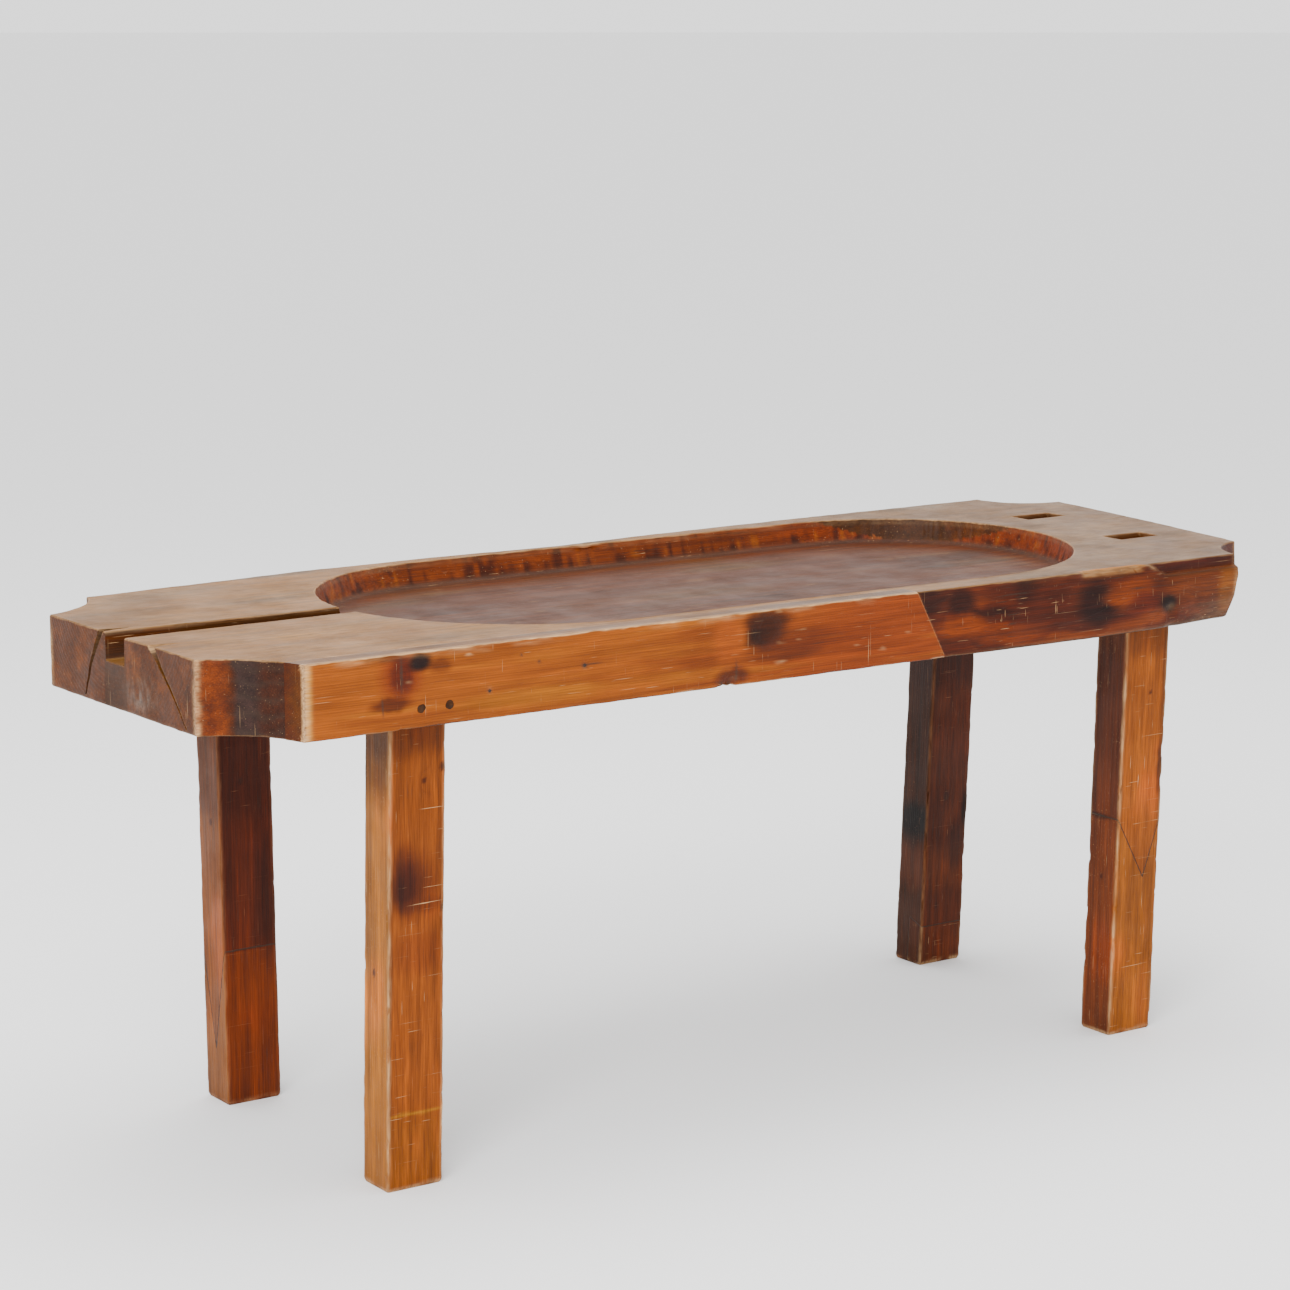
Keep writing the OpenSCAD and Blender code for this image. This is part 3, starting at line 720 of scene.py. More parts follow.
def check_cutter(name, plan, stations, run, seed):
    """A cutter for a drying check in the left end: a ragged wedge, each station of it a place
    across, a depth below the top and a width, that closes as it runs into the wood."""
    stations = np.array(stations, float)
    depth = np.linspace(0, stations[-1, 1], 18)
    middle = np.interp(depth, stations[:, 1], stations[:, 0])
    width = np.interp(depth, stations[:, 1], stations[:, 2])
    rows = []
    for t in np.linspace(0, 1, 9):
        x = np.full(len(depth), -1 + (run + 1) * t) + LOW[0]
        half = width / 2 * (1 - 0.93 * t)
        one = np.stack([x, middle - half, plan.top - depth], 1)
        two = np.stack([x, middle + half, plan.top - depth], 1)[::-1]
        lip_two, lip_one = two[-1] + [0, 0, 4], one[0] + [0, 0, 4]
        rows.append(np.concatenate([one, two, [lip_two, lip_one]]))
    grid = np.stack(rows)
    grid[..., 1] += 1.1 * noise(grid * [0, 1, 1] + [0, 0, seed], (9, 9, 9), seed)
    return closed_mesh(name, grid, caps=True)


def slab_knots(p):
    """Growth rings of the slab: distance from a wandering pith above the top, bent round knots."""
    pith_y = -15 + 22 * noise(p * [1, 0, 0], (420, 1, 1), 61)
    pith_z = 843 + 14 * noise(p * [1, 0, 0], (300, 1, 1), 62)
    ring = np.hypot(p[:, 1] - pith_y, p[:, 2] - pith_z)
    ring = ring + 2.6 * rough(p, (230, 46, 46), 63)
    # Each knot: place, reach along and across the grain, and how far it lifts the rings
    for place, reach, lift in TOP_KNOTS:
        far = np.sqrt((((p - place) / reach) ** 2).sum(-1))
        ring = ring + lift * np.exp(-far ** 1.5)
    return ring


TOP_KNOTS = [((-752, -150, 750), (52, 28, 40), 34), ((560, -140, 750), (60, 24, 40), 18),
             ((-120, 180, 713), (60, 26, 30), 20), ((240, -120, 713), (70, 26, 30), -22),
             ((310, 40, 713), (60, 22, 30), 16), ((237, -348, 716), (46, 40, 26), 22),
             ((588, -348, 690), (66, 40, 24), 34), ((655, 318, 750), (50, 20, 40), 20),
             ((770, -300, 700), (40, 60, 28), 20), ((-470, 205, 713), (80, 30, 30), 18)]


def paint_slab(piece, slab, plan):
    """Colours of the slab by zone: scrubbed top, stained floor, reddish carved wall, end grain
    with soot, dark log side with orange flames, and an underside painted darker as painted shade.
    Painted shade also darkens the channel, mortises, checks, the foot of the basin wall and the
    pit round the broken peg."""
    p, n = points_of(piece)
    x, y, z = p.T
    up = rise(n[:, 2], 0.35, 0.8)
    in_basin = (np.hypot(np.clip(np.abs(x - 46) - 337, 0, None), y - plan.mid_y)
                < plan.radius + 5)
    top = up * (z > plan.top - 9)
    low = up * (z < plan.top - 20) * in_basin
    streak = rough(p, (260, 16, 30), 71)
    fine = rough(p, (90, 7, 20), 72)
    cloud = rough(p, (110, 70, 70), 73)
    tone = np.tile(np.array(slab.tan), (len(p), 1))
    tone = tint(tone, slab.right, 0.85 * rise(x + 60 * cloud, 60, 560))
    tone = tint(tone, slab.grey, 0.75 * rise(0.55 * streak + 0.45 * fine + 0.3 * cloud, 0.0, 0.75))
    tone = tint(tone, linear("#c7a983"), 0.5 * rise(fine + 0.5 * cloud, 0.25, 0.9))
    for place, radii, share in TOP_STAINS:
        tone = tint(tone, slab.soot, share * spot(p[:, :2] + 9 * cloud[:, None], place, radii, 0.7)
                    * top)
    tone = tint(tone, linear("#bd9a74"), 0.6 * spot(p[:, :2], (-752, -150), (44, 24), 0.5) * top)
    # Basin floor
    floor = np.tile(np.array(slab.floor), (len(p), 1))
    floor = tint(floor, linear("#a3846a"), 0.7 * rise(fine * 0.6 + streak * 0.7, 0.1, 0.8))
    floor = tint(floor, slab.floor_dark, 0.75 * rise(cloud * 0.7 + streak * 0.5, 0.12, 0.75))
    floor = tint(floor, linear("#7a6a4c"), 0.35 * rise(rough(p, (200, 90, 90), 75), 0.0, 0.6))
    unskewed = np.where(x > 383, x - plan.skew * (y - plan.mid_y), x)
    to_wall = plan.radius - np.hypot(np.clip(np.abs(unskewed - 46.5) - 336.5, 0, None),
                                     y - plan.mid_y)
    floor = tint(floor, linear("#7b4327"), 0.55 * (1 - rise(to_wall + 18 * cloud, 18, 80)))
    tone = tint(tone, floor, low)
    # Carved wall
    wall_zone = (1 - up) * in_basin * (z > plan.floor - 2) * (to_wall < 26) * (x > -575)
    bars = noise(np.stack([x, y, z * 0.2], 1), (9, 9, 9), 76)
    wall = np.tile(np.array(slab.wall), (len(p), 1))
    wall = tint(wall, linear("#a05a43"), 0.6 * rise(x, 250, 480))
    wall = tint(wall, linear("#4c2414"), 0.75 * rise(bars + 0.4 * fine, 0.1, 0.8))
    wall = tint(wall, linear("#c07e4c"), 0.6 * rise(-bars + 0.4 * cloud, 0.3, 0.9))
    tone = tint(tone, wall, wall_zone)
    # Ends, scoops and sides
    side = (1 - rise(np.abs(n[:, 2]), 0.3, 0.75)) * (1 - wall_zone)
    outside = side * ((x < -840) | (x > 640) | (y < plan.front + 30) | (y > plan.far_y(x) - 30))
    outer = np.tile(np.array(slab.end), (len(p), 1))
    outer = tint(outer, linear("#9a6234"), 0.6 * rise(rough(p, (40, 34, 26), 77), 0.05, 0.6))
    outer = tint(outer, linear("#4e3426"), 0.6 * rise(rough(p, (40, 26, 40), 78), 0.1, 0.7))
    outer = tint(outer, slab.bloom, 0.62 * spot(p[:, 1:], (-74, 680), (42, 20), 0.8)
                 * rise(fine + cloud, -0.5, 0.5) * (x < -930))
    near_scoop = (x < plan.b[0] + 3) * (y < plan.a[1] + 3)
    t = np.clip((x - plan.a[0]) / (plan.b[0] - plan.a[0]), 0, 1)
    burn = rise(t + 0.06 * noise(p, (20, 20, 26), 79), 0.3, 0.46)
    scoop = tint(np.tile(np.array(slab.scoop), (len(p), 1)), linear("#6d3517"),
                 0.6 * rise(rough(p, (22, 22, 30), 80), 0, 0.6))
    scoop = tint(scoop, linear("#4c4241"), 0.92 * burn)
    scoop = tint(scoop, linear("#5f3a2a"), 0.6 * burn * rise(t, 0.62, 0.75))
    outer = tint(outer, scoop, near_scoop)
    on_log = rise(x, 150, 165) * (y < plan.d[1] + 20)
    warp = p + 14 * np.stack([rough(p, (60, 60, 60), 81), 0 * x, rough(p, (60, 60, 60), 82)], 1)
    log = np.tile(np.array(slab.log), (len(p), 1))
    log = tint(log, slab.flame, 0.75 * rise(rough(warp, (130, 130, 26), 83) + 0.15, 0.05, 0.7))
    log = tint(log, linear("#34170c"), 0.7 * rise(rough(warp, (90, 90, 22), 84), 0.12, 0.7))
    for place, radii, stain, share in LOG_MARKS:
        log = tint(log, linear(stain), share * spot(warp[:, ::2], place, radii, 0.45))
    outer = tint(outer, log, on_log)
    at_far = (y > plan.g[1] - 30) * (x > plan.h[0] + 60)
    outer = tint(outer, linear("#7d5636"), 0.7 * at_far)
    tone = tint(tone, outer, outside)
    # Walls of the channel, mortises and checks are painted dark inside: painted shade in the recesses
    recess_shade = side * (1 - outside)
    tone = tint(tone, linear("#5e3c24"), 0.85 * recess_shade)
    # Faces that look down take the darker underside colour: painted shade
    tone = tint(tone, slab.under, rise(-n[:, 2], 0.4, 0.8))
    # Fresh chip on the log's top edge
    front = y < plan.front + 12
    chip = (rise(x, 458, 474) * (1 - rise(x, 584, 600)) * front
            * rise(z, plan.top - 14 + 4 * noise(p, (14, 14, 14), 21), plan.top - 9))
    tone = tint(tone, slab.chip, 0.95 * chip * rise(n[:, 1], -1.1, -0.2))
    rebate = front * rise(x, 600 + 2 * (plan.top - z), 606 + 2 * (plan.top - z)) * (z > 733)
    tone = tint(tone, linear("#5b2412"), 0.85 * rebate * side)

    crest = np.exp(-((n[:, 2] - 0.7) / 0.28) ** 2) * (z > plan.top - 8)
    patchy = 0.55 + 0.45 * rough(p, (60, 60, 60), 85)
    wear = crest * patchy * np.where(front & (x > 150), 0.5, 0.95)
    for corner, share in zip(plan.corners, (1, 0.8, 0.4, 0.5, 0.5, 0.4, 0.6, 0.8)):
        wear = np.maximum(wear, share * np.exp(-(np.hypot(x - corner[0], y - corner[1]) / 6) ** 2)
                          * (0.5 + 0.5 * noise(p, (9, 9, 14), 86)))
    wear = np.maximum(wear, 0.5 * np.exp(-((n[:, 2] + 0.7) / 0.3) ** 2) * outside * patchy)
    # Painted shade along the crease at the foot of the basin wall: the floor next to the wall and the
    # bottom of the wall are darkened
    grime = low * (1 - rise(to_wall, 19, 27)) * 0.75
    grime = np.maximum(grime, wall_zone * (1 - rise(z, plan.floor + 2, plan.floor + 12)) * 0.6)
    # Painted shade in the channel, darker on its walls and deeper down
    in_channel = (np.abs(y + 6) < 32) & (x < -560) & (z < plan.top - 3)
    grime = np.maximum(grime, in_channel * (0.25 + 0.5 * (1 - up)) * rise(
        plan.top - z, 8, 34))
    # Painted shade in the mortises, darker deeper in
    in_mortise = (x > 730) & (np.abs(y) < 175) & (z < plan.top - 3) & (z > plan.under + 2)
    grime = np.maximum(grime, in_mortise * rise(plan.top - z, 3, 40) * 0.85 * (x < 850))
    # Painted shade inside the checks of the left end
    in_check = (x < -885) & (n[:, 0] > -0.7) & (np.abs(n[:, 1]) > 0.6) & ~in_channel \
        & (y > -220) & (y < 110)
    grime = np.maximum(grime, in_check * 0.95)
    # Painted shade in the pit round the broken peg
    grime = np.maximum(grime, 0.8 * hump(x, 647, 9) * hump(z, plan.under + 26, 9) * front)
    grime = np.maximum(grime, 0.55 * near_scoop * burn * side * rise(
        np.sin(z * 2 * math.pi / 3.6 + 2 * noise(p, (30, 30, 30), 87)), 0.1, 0.9))
    figure = 0.35 + 0.4 * low + 0.45 * outside
    paint(piece, tone, ring=slab_knots(p), wear=np.clip(wear, 0, 1), grime=np.clip(grime, 0, 1),
          seam=9.0, figure=figure)


# Stains on the top: place, reach and share of soot
TOP_STAINS = [((-713, 254), (95, 30), 0.3), ((-640, 130), (70, 16), 0.55),
              ((-519, 320), (90, 18), 0.6), ((-820, 215), (60, 26), 0.35),
              ((-880, 120), (70, 50), 0.25), ((-560, -260), (90, 14), 0.3),
              ((420, -322), (90, 9), 0.5), ((690, 330), (90, 22), 0.35),
              ((15, 318), (60, 16), 0.8), ((610, 60), (120, 50), 0.25)]

# Marks on the log side: place along and up, reach, colour and share
LOG_MARKS = [((493, 703), (40, 34), "#3b2320", 0.95), ((237, 724), (26, 16), "#3a170b", 0.85),
             ((237, 690), (50, 16), "#a85a22", 0.7), ((330, 672), (60, 16), "#a4561f", 0.6),
             ((560, 712), (50, 14), "#a75a22", 0.75), ((588, 690), (34, 16), "#7a3515", 0.8),
             ((590, 668), (60, 10), "#a05a2a", 0.6), ((705, 705), (70, 22), "#8f5226", 0.7),
             # The mark at 645 along and 682 up is painted shade in the pit round the broken peg
             ((770, 700), (24, 40), "#b07a48", 0.55), ((645, 682), (16, 12), "#2a140c", 0.9)]


class CHEESE_OT_slab(bpy.types.Operator):
    """Carve the hewn slab: one closed sheet, then the channel, mortises, checks and recesses"""
    bl_idname = "cheese_table.slab"
    bl_label = "Hewn slab"

    def execute(self, context):
        table = context.scene.cheese_table
        slab, board = table.slab, table.board
        plan = SlabPlan(slab)
        piece = closed_mesh("hewn_slab", slab_grid(slab, plan))
        x = np.concatenate([[LOW[0] - 12], np.linspace(LOW[0] + 3, -440, 76)])
        foot_x = -570
        half = np.interp(x, [LOW[0], -440], [28, 20])
        low = np.interp(x, [LOW[0], foot_x, -440], [plan.floor - 2, plan.floor + 0.2,
                                                   plan.floor + 4])
        channel = trough(x, half, low, plan.top, 4, seed=91)
        channel[..., 1] -= 6
        cutters = [closed_mesh("channel", channel, caps=True)]
        cutters.append(mortise_cutter("near_mortise", 778, -108, 79, 44, plan.under, plan.top, 92))
        cutters.append(mortise_cutter("far_mortise", 802, 141, 79, 44, plan.under, plan.top, 93))
        near = [(-109, 0, 22), (-135, 25, 10), (-163, 50, 6), (-205, 96, 3)]
        far = [(35, 0, 15), (65, 47, 9), (85, 95, 3)]
        cutters.append(check_cutter("near_check", plan, near, 45, 94))
        cutters.append(check_cutter("far_check", plan, far, 45, 95))
        right = [(55, 0, 5), (52, 40, 2)]
        check = check_cutter("right_check", plan, right, 112, 96)
        flip = np.array([-1, 1, 1])
        count = len(check.data.vertices)
        place = np.zeros(count * 3)
        check.data.vertices.foreach_get("co", place)
        place = place.reshape(-1, 3) * flip + [0, 0.0, 0]
        check.data.vertices.foreach_set("co", place.ravel())
        check.data.flip_normals()
        cutters.append(check)
        gap = 0.35
        scarf = LOW[0] + mm(board.scarf)
        slant = mm(board.slant)
        tall = plan.top - plan.under
        recess = [(-2000, plan.under - 2), (scarf + gap + slant * (1 + 2 / tall), plan.under - 2),
                  (scarf + gap - slant * 2 / tall, plan.top + 2), (-2000, plan.top + 2)]
        cutters.append(prism("recess", recess, -900, plan.front + mm(board.thickness) + gap, 1))
        for leg in leg_places().values():
            cutters.append(leg_mortise(leg, table.legs, plan))
        carve(piece, cutters)
        paint_slab(piece, slab, plan)
        pine = old_pine("scrubbed_slab_pine", 0, 6.5, late=0.42, fibre=0.42, pores=0.75,
                        scratches=0.5, gloss=0.5, relief=0.5)
        finish_piece(piece, pine, ["slab"])
        return {"FINISHED"}


# Front board


def section(half_wide, half_deep, round_by, wide_count, deep_count, corner_count=4):
    """Unit parts of a rounded rectangle, anticlockwise from the left of its front side. A point
    is A (half - round) + C round: A lies on the square and C is the way out at that point."""
    parts = []
    for k, count in enumerate((wide_count, deep_count, wide_count, deep_count)):
        t = np.linspace(-1, 1, count)
        along = np.stack([t, -np.ones(count)], 1)
        out = np.tile([0.0, -1.0], (count, 1))
        turn = np.radians(np.linspace(-90, 0, corner_count + 2)[1:-1])
        corner = np.tile([1.0, -1.0], (corner_count, 1))
        around = np.stack([np.cos(turn), np.sin(turn)], 1)
        c, s = ((1, 0), (0, 1), (-1, 0), (0, -1))[k]
        spin = np.array([[c, s], [-s, c]])
        parts.append(np.concatenate([np.concatenate([along, corner]),
                                     np.concatenate([out, around])], 1) @ np.kron(np.eye(2), spin))
    parts = np.concatenate(parts)
    return parts[:, :2], parts[:, 2:]


def board_face(p):
    """Growth rings of the board: level lines on its face that swell round the knots."""
    ring = p[:, 2] * 0.8 + p[:, 1] * 0.6 + 7 * noise(p * [1, 0, 0], (380, 1, 1), 101)
    ring = ring + 1.6 * rough(p, (210, 30, 22), 102)
    for (x, z), (reach_x, reach_z), lift in BOARD_KNOTS:
        across = p[:, 2] - z
        along = np.exp(-((p[:, 0] - x) / reach_x) ** 2)
        ring = ring - lift * along * np.tanh(across / reach_z) * np.exp(-np.abs(across) / 60)
        far = np.sqrt(((p[:, 0] - x) / reach_x) ** 2 + (across / reach_z) ** 2)
        inside = 1 - rise(far, 0.45, 0.85)
        ring = ring * (1 - inside) + inside * far * 16
    return ring


# Knots of the board: place along and up, reach, and how far they push the rings apart
BOARD_KNOTS = [((-698, 721), (34, 36), 11), ((-172, 652), (34, 34), 12),
               ((-112, 722), (30, 36), 5)]

# Marks on the board: place along and up, reach, colour and share
BOARD_MARKS = [((-700, 722), (30, 33), "#a04f1f", 0.75), ((-699, 722), (17, 25), "#74331a", 0.9),
               ((-671, 736), (17, 12), "#2b2226", 0.95), ((-715, 684), (30, 9), "#5c2a19", 0.75),
               ((-640, 728), (16, 10), "#7a4426", 0.6), ((-729, 748), (26, 6), "#6a4630", 0.5),
               ((-116, 719), (34, 24), "#3a2018", 0.97), ((-110, 735), (40, 12), "#5a3018", 0.8),
               ((-177, 716), (26, 28), "#c46f22", 0.85), ((-172, 662), (28, 13), "#6d3418", 0.85),
               ((-80, 690), (60, 16), "#6b3519", 0.6), ((-60, 705), (60, 20), "#7d421d", 0.5),
               ((-225, 690), (26, 26), "#8a4a20", 0.35), ((-840, 700), (9, 60), "#dcae74", 0.8),
               ((-250, 700), (90, 8), "#8f4a1e", 0.4), ((30, 700), (110, 12), "#8d4718", 0.4),
               ((-560, 735), (60, 8), "#a0602c", 0.3), ((-500, 672), (110, 12), "#c58a4b", 0.5)]


def paint_board(piece, board, slab, plan):
    """Colours of the board: honey pine that deepens to the right, knots, burns and scrubbed top."""
    p, n = points_of(piece)
    x, y, z = p.T
    cloud = rough(p, (120, 60, 50), 111)
    streak = rough(p, (240, 20, 9), 112)
    tone = np.tile(np.array(board.honey), (len(p), 1))
    tone = tint(tone, board.amber, rise(x + 120 * cloud, -260, 60))
    tone = tint(tone, linear("#cc8a48"), 0.55 * rise(streak + 0.6 * cloud, 0.1, 0.8))
    tone = tint(tone, linear("#8e4d22"), 0.55 * rise(-streak + 0.5 * cloud, 0.15, 0.8))
    warp = p[:, ::2] + 3.5 * np.stack([rough(p, (16, 16, 16), 113), rough(p, (16, 16, 16), 114)], 1)
    for place, radii, stain, share in BOARD_MARKS:
        tone = tint(tone, linear(stain), share * spot(warp, place, radii, 0.45))
    top = rise(n[:, 2], 0.35, 0.8)
    grey = np.tile(np.array(slab.tan), (len(p), 1))
    fine = rough(p, (90, 7, 20), 72)
    grey = tint(grey, slab.grey, 0.6 * rise(0.6 * rough(p, (260, 16, 30), 71) + 0.4 * fine, 0, 0.7))
    grey = tint(grey, slab.right, 0.6 * rise(x, -500, 150))
    tone = tint(tone, grey, top)
    left_end = rise(-n[:, 0], 0.25, 0.6) * (x < -800)
    tone = tint(tone, linear("#5e3322"), 0.85 * left_end)
    # Faces that look down take the darker underside colour: painted shade
    tone = tint(tone, slab.under, rise(-n[:, 2], 0.4, 0.8) * 0.7)
    crest = np.exp(-((n[:, 2] - 0.7) / 0.3) ** 2) * (y < plan.front + 8)
    wear = crest * (0.75 + 0.25 * rough(p, (70, 70, 70), 115))
    wear = np.maximum(wear, 0.35 * rise(z, plan.top - 14, plan.top - 2) * (y < plan.front + 5)
                      * rise(rough(p, (60, 60, 12), 116), 0.0, 0.6))
    wear = np.maximum(wear, 0.75 * np.exp(-((x - plan.b[0]) / 7) ** 2) * (y < plan.front + 8))
    wear = np.maximum(wear, 0.45 * rise(rough(p, (46, 46, 9), 117), 0.5, 0.8)
                      * (y < plan.front + 3))
    wear = np.maximum(wear, 0.5 * np.exp(-((n[:, 2] + 0.7) / 0.3) ** 2)
                      * rise(noise(p, (50, 50, 50), 118), 0, 0.5))
    grime = 0.95 * spot(p[:, ::2], (-700, 722), (2.2, 22), 0.5)
    for place, radii in (((-565, 686), (3.5, 3)), ((-415, 704), (5, 3.5)), ((-402, 705), (14, 0.9)),
                         ((-488, 717), (2.5, 2.5)), ((-516, 729), (2, 2)),
                         ((-190, 651), (6, 7)), ((-176, 651), (4, 6)), ((-165, 668), (1.5, 16)),
                         ((-728, 681), (1.5, 13))):
        grime = np.maximum(grime, 0.95 * spot(p[:, ::2], place, radii, 0.5))
    grime = grime * (y < plan.front + 6)
    figure = 0.9 - 0.45 * top
    paint(piece, tone, ring=board_face(p), wear=np.clip(wear, 0, 1), grime=grime, seam=9.0,
          figure=figure)


class CHEESE_OT_board(bpy.types.Operator):
    """Plane the front board: a rounded section carried from the scooped end to the scarf"""
    bl_idname = "cheese_table.board"
    bl_label = "Front board"

    def execute(self, context):
        table = context.scene.cheese_table
        slab, board = table.slab, table.board
        plan = SlabPlan(slab)
        deep, tall = mm(board.thickness) / 2, mm(slab.thickness) / 2
        square, out = section(deep, tall, 1, 9, 42)
        # Across is front to back, so the section's first axis is Y and its second is Z
        count = 455
        ends = np.array([deep, 9, 4, 1.6])
        inset = np.concatenate([ends, np.zeros(count), ends[::-1]])
        share = np.concatenate([np.zeros(4), np.linspace(0, 1, count), np.ones(4)])
        front_side = square[:, 0] < -0.99
        base_round = np.where(square[:, 0] < 0, 3.2, 1.2)
        walk = share * 1150
        edge = np.stack([walk, walk * 0, walk * 0], 1)
        worn = 1 + 0.35 * noise(edge, (46, 1, 1), 121) + 0.3 * noise(edge, (12, 1, 1), 122)
        radius = base_round[None] * worn[:, None]
        radius = np.minimum(radius, np.maximum(deep - inset, 0.0)[:, None] * 0.98)
        half_y = np.maximum(deep - inset, 0)[:, None]
        half_z = (tall - inset)[:, None]
        y = square[None, :, 0] * (half_y - radius) + out[None, :, 0] * radius
        z = square[None, :, 1] * (half_z - radius) + out[None, :, 1] * radius
        y = y + plan.front + deep
        z = z + (plan.top + plan.under) / 2
        t = np.linspace(0, 1, 60)
        arc = bow(plan.a, plan.b, 20, 60)
        start = np.interp(-y, -arc[:, 1][::1], arc[:, 0])
        stop = LOW[0] + mm(board.scarf) + mm(board.slant) * (plan.top - z) / (2 * tall)
        x = start + (stop - start) * share[:, None]
        grid = np.stack([x, y, z], -1)
        # Hand-planed face, pits at the nails, and a broken knot at the lower edge
        face = rise(-out[:, 0], 0.3, 0.9)[None]
        wave = 0.35 * (0.5 + 0.5 * rough(grid, (120, 60, 40), 123))
        wave = wave + 0.15 * noise(grid, (40, 9, 3.2), 124)
        for (px, pz), reach, deepness in (((-565, 686), 4, 2), ((-415, 704), 4.5, 2.2),
                                          ((-700, 722), 18, -1.2), ((-488, 717), 2.5, 1)):
            wave = wave + deepness * hump(x, px, reach) * hump(z, pz, reach)
        broken = hump(x, -176, 17) * rise(plan.under + 16 - z, 0, 14)
        ragged = 0.6 + 0.5 * noise(grid, (6, 6, 20), 125)
        wave = wave + 6 * broken * ragged
        grid[..., 1] += face * np.clip(wave, -0.6, 9)
        lower = rise(-out[:, 1], 0.3, 0.9)[None] * (y < plan.front + 14)
        nick = hump(x, -187, 7) + 0.7 * hump(x, -172, 4) + 0.4 * hump(x, -700, 5)
        grid[..., 2] += lower * (4.5 * nick * (0.7 + 0.4 * noise(grid, (5, 9, 9), 126)))
        upper = rise(out[:, 1], 0.3, 0.9)[None]
        grid[..., 2] -= upper * 0.5 * (0.5 + 0.5 * rough(grid, (90, 20, 20), 127))
        piece = closed_mesh("front_edge_board_pine", np.clip(grid, LOW, HIGH))
        paint_board(piece, board, slab, plan)
        pine = old_pine("oiled_board_pine", 0, 2.7, late=0.62, fibre=0.3, pores=0.3,
                        scratches=0.42, gloss=0.42, relief=0.3)
        finish_piece(piece, pine, ["front_edge_board"])
        return {"FINISHED"}


# Legs


def leg_places():
    """Each leg's foot centre and the lean of its top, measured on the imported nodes."""
    places = {}
    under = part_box("leg_front_left")[1].z * 1000
    for leg, nodes in LEG_NODES.items():
        p = np.concatenate([points_of(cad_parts[node])[0] for node in nodes])
        foot = p[p[:, 2] < 0.5]
        shoulder = p[np.abs(p[:, 2] - 649) < 0.5]
        low = (foot.min(0) + foot.max(0)) / 2
        high = (shoulder.min(0) + shoulder.max(0)) / 2
        places[leg] = (low[:2], high[:2] - low[:2])
    return places


LEG_NODES = {
    "front_left": ["leg_front_left"],
    "back_left": ["leg_back_left", "leg_back_left_foot"],
    "front_right": ["leg_front_right", "leg_front_right_foot"],
    "back_right": ["leg_back_right", "leg_back_right_foot_patch"],
}
SHOULDER = 649


def lean(grid, leg, height=SHOULDER):
    """Leans a leg: each point moves sideways in step with its height."""
    foot, top = leg
    moved = grid.copy()
    moved[..., :2] += foot + top * (grid[..., 2:3] / height)
    return moved


def leg_mortise(leg, legs, plan):
    """A cutter for the blind mortise of a leg's tenon."""
    wide, deep = 38.4, 19.4
    box = np.array([(-wide, -deep), (wide, -deep), (wide, deep), (-wide, deep)])
    low, high = plan.under - 3, plan.under + mm(legs.tenon) + 2
    grid = np.stack([np.insert(box, 2, z, axis=1) for z in (low, high)])
    return closed_mesh("mortise", lean(grid, leg), caps=True)


def leg_grid(legs, seed, chips, notches=()):
    """A leg standing upright at the origin: rounded sections up Z from the middle of the foot to
    the middle of the tenon's end, with worn and chipped arrises and a hand-planed face."""
    half_w, half_d = mm(legs.width) / 2, mm(legs.depth) / 2
    square, out = section(half_w, half_d, 1, 26, 20)
    shaft = np.linspace(3.5, SHOULDER - 0.8, 196)
    z = np.concatenate([[0, 0, 0, 0, 1.2], shaft, [SHOULDER] * 3,
                        np.linspace(SHOULDER + 12, SHOULDER + mm(legs.tenon) - 1, 4),
                        [SHOULDER + mm(legs.tenon)] * 3])
    inset = np.concatenate([[half_d, 18, 7, 2.4, 0.7], np.zeros(196), [0.8, 4, 4], np.zeros(4),
                            [1, 10, 19]])
    on_tenon = np.concatenate([np.zeros(203), np.ones(8)]).astype(bool)
    wide = np.where(on_tenon, 38, half_w)
    deep = np.where(on_tenon, 19, half_d)
    rows = np.stack([z * 0, z * 0, z], 1)
    worn = mm(legs.arris) * (1 + 0.4 * noise(rows, (1, 1, 60), seed) + 0.3 * noise(
        rows, (1, 1, 16), seed + 1))
    worn = np.where(on_tenon, 1, worn)
    room = np.maximum(np.minimum(wide, deep) - inset, 0) * 0.98
    round_by = np.minimum(worn, room)[:, None]
    half_x = np.maximum(wide - inset, 0)[:, None]
    half_y = np.maximum(deep - inset, 0)[:, None]
    x = square[None, :, 0] * (half_x - round_by) + out[None, :, 0] * round_by
    y = square[None, :, 1] * (half_y - round_by) + out[None, :, 1] * round_by
    grid = np.stack([x, y, np.broadcast_to(z[:, None], x.shape)], -1)
    skin = ((inset < 1) & ~on_tenon)[:, None]
    corner = rise(np.abs(out[:, 0] * out[:, 1]), 0.05, 0.4)[None]
    inwards = 0.55 * (0.5 + 0.5 * rough(grid, (40, 40, 190), seed + 2))
    inwards = inwards + 0.12 * noise(grid, (4, 4, 60), seed + 3)
    chip = rise(noise(grid, (30, 30, 17), seed + 4), 0.35, 0.8)
    inwards = inwards + corner * chips * chip
    for side_x, side_y, height, reach, deepness in notches:
        at = (rise(out[:, 0] * side_x, 0.1, 0.6) * rise(out[:, 1] * side_y, 0.1, 0.6))[None]
        inwards = inwards + deepness * at * hump(grid[..., 2], height, reach)
    grid[..., :2] -= out[None] * (inwards * skin)[..., None]
    # The foot is worn round where it stands on the floor
    foot = (z < 6)[:, None] & skin
    grid[..., :2] -= out[None] * (foot * 1.2 * rise(6 - grid[..., 2], 0, 5))[..., None]
    return grid


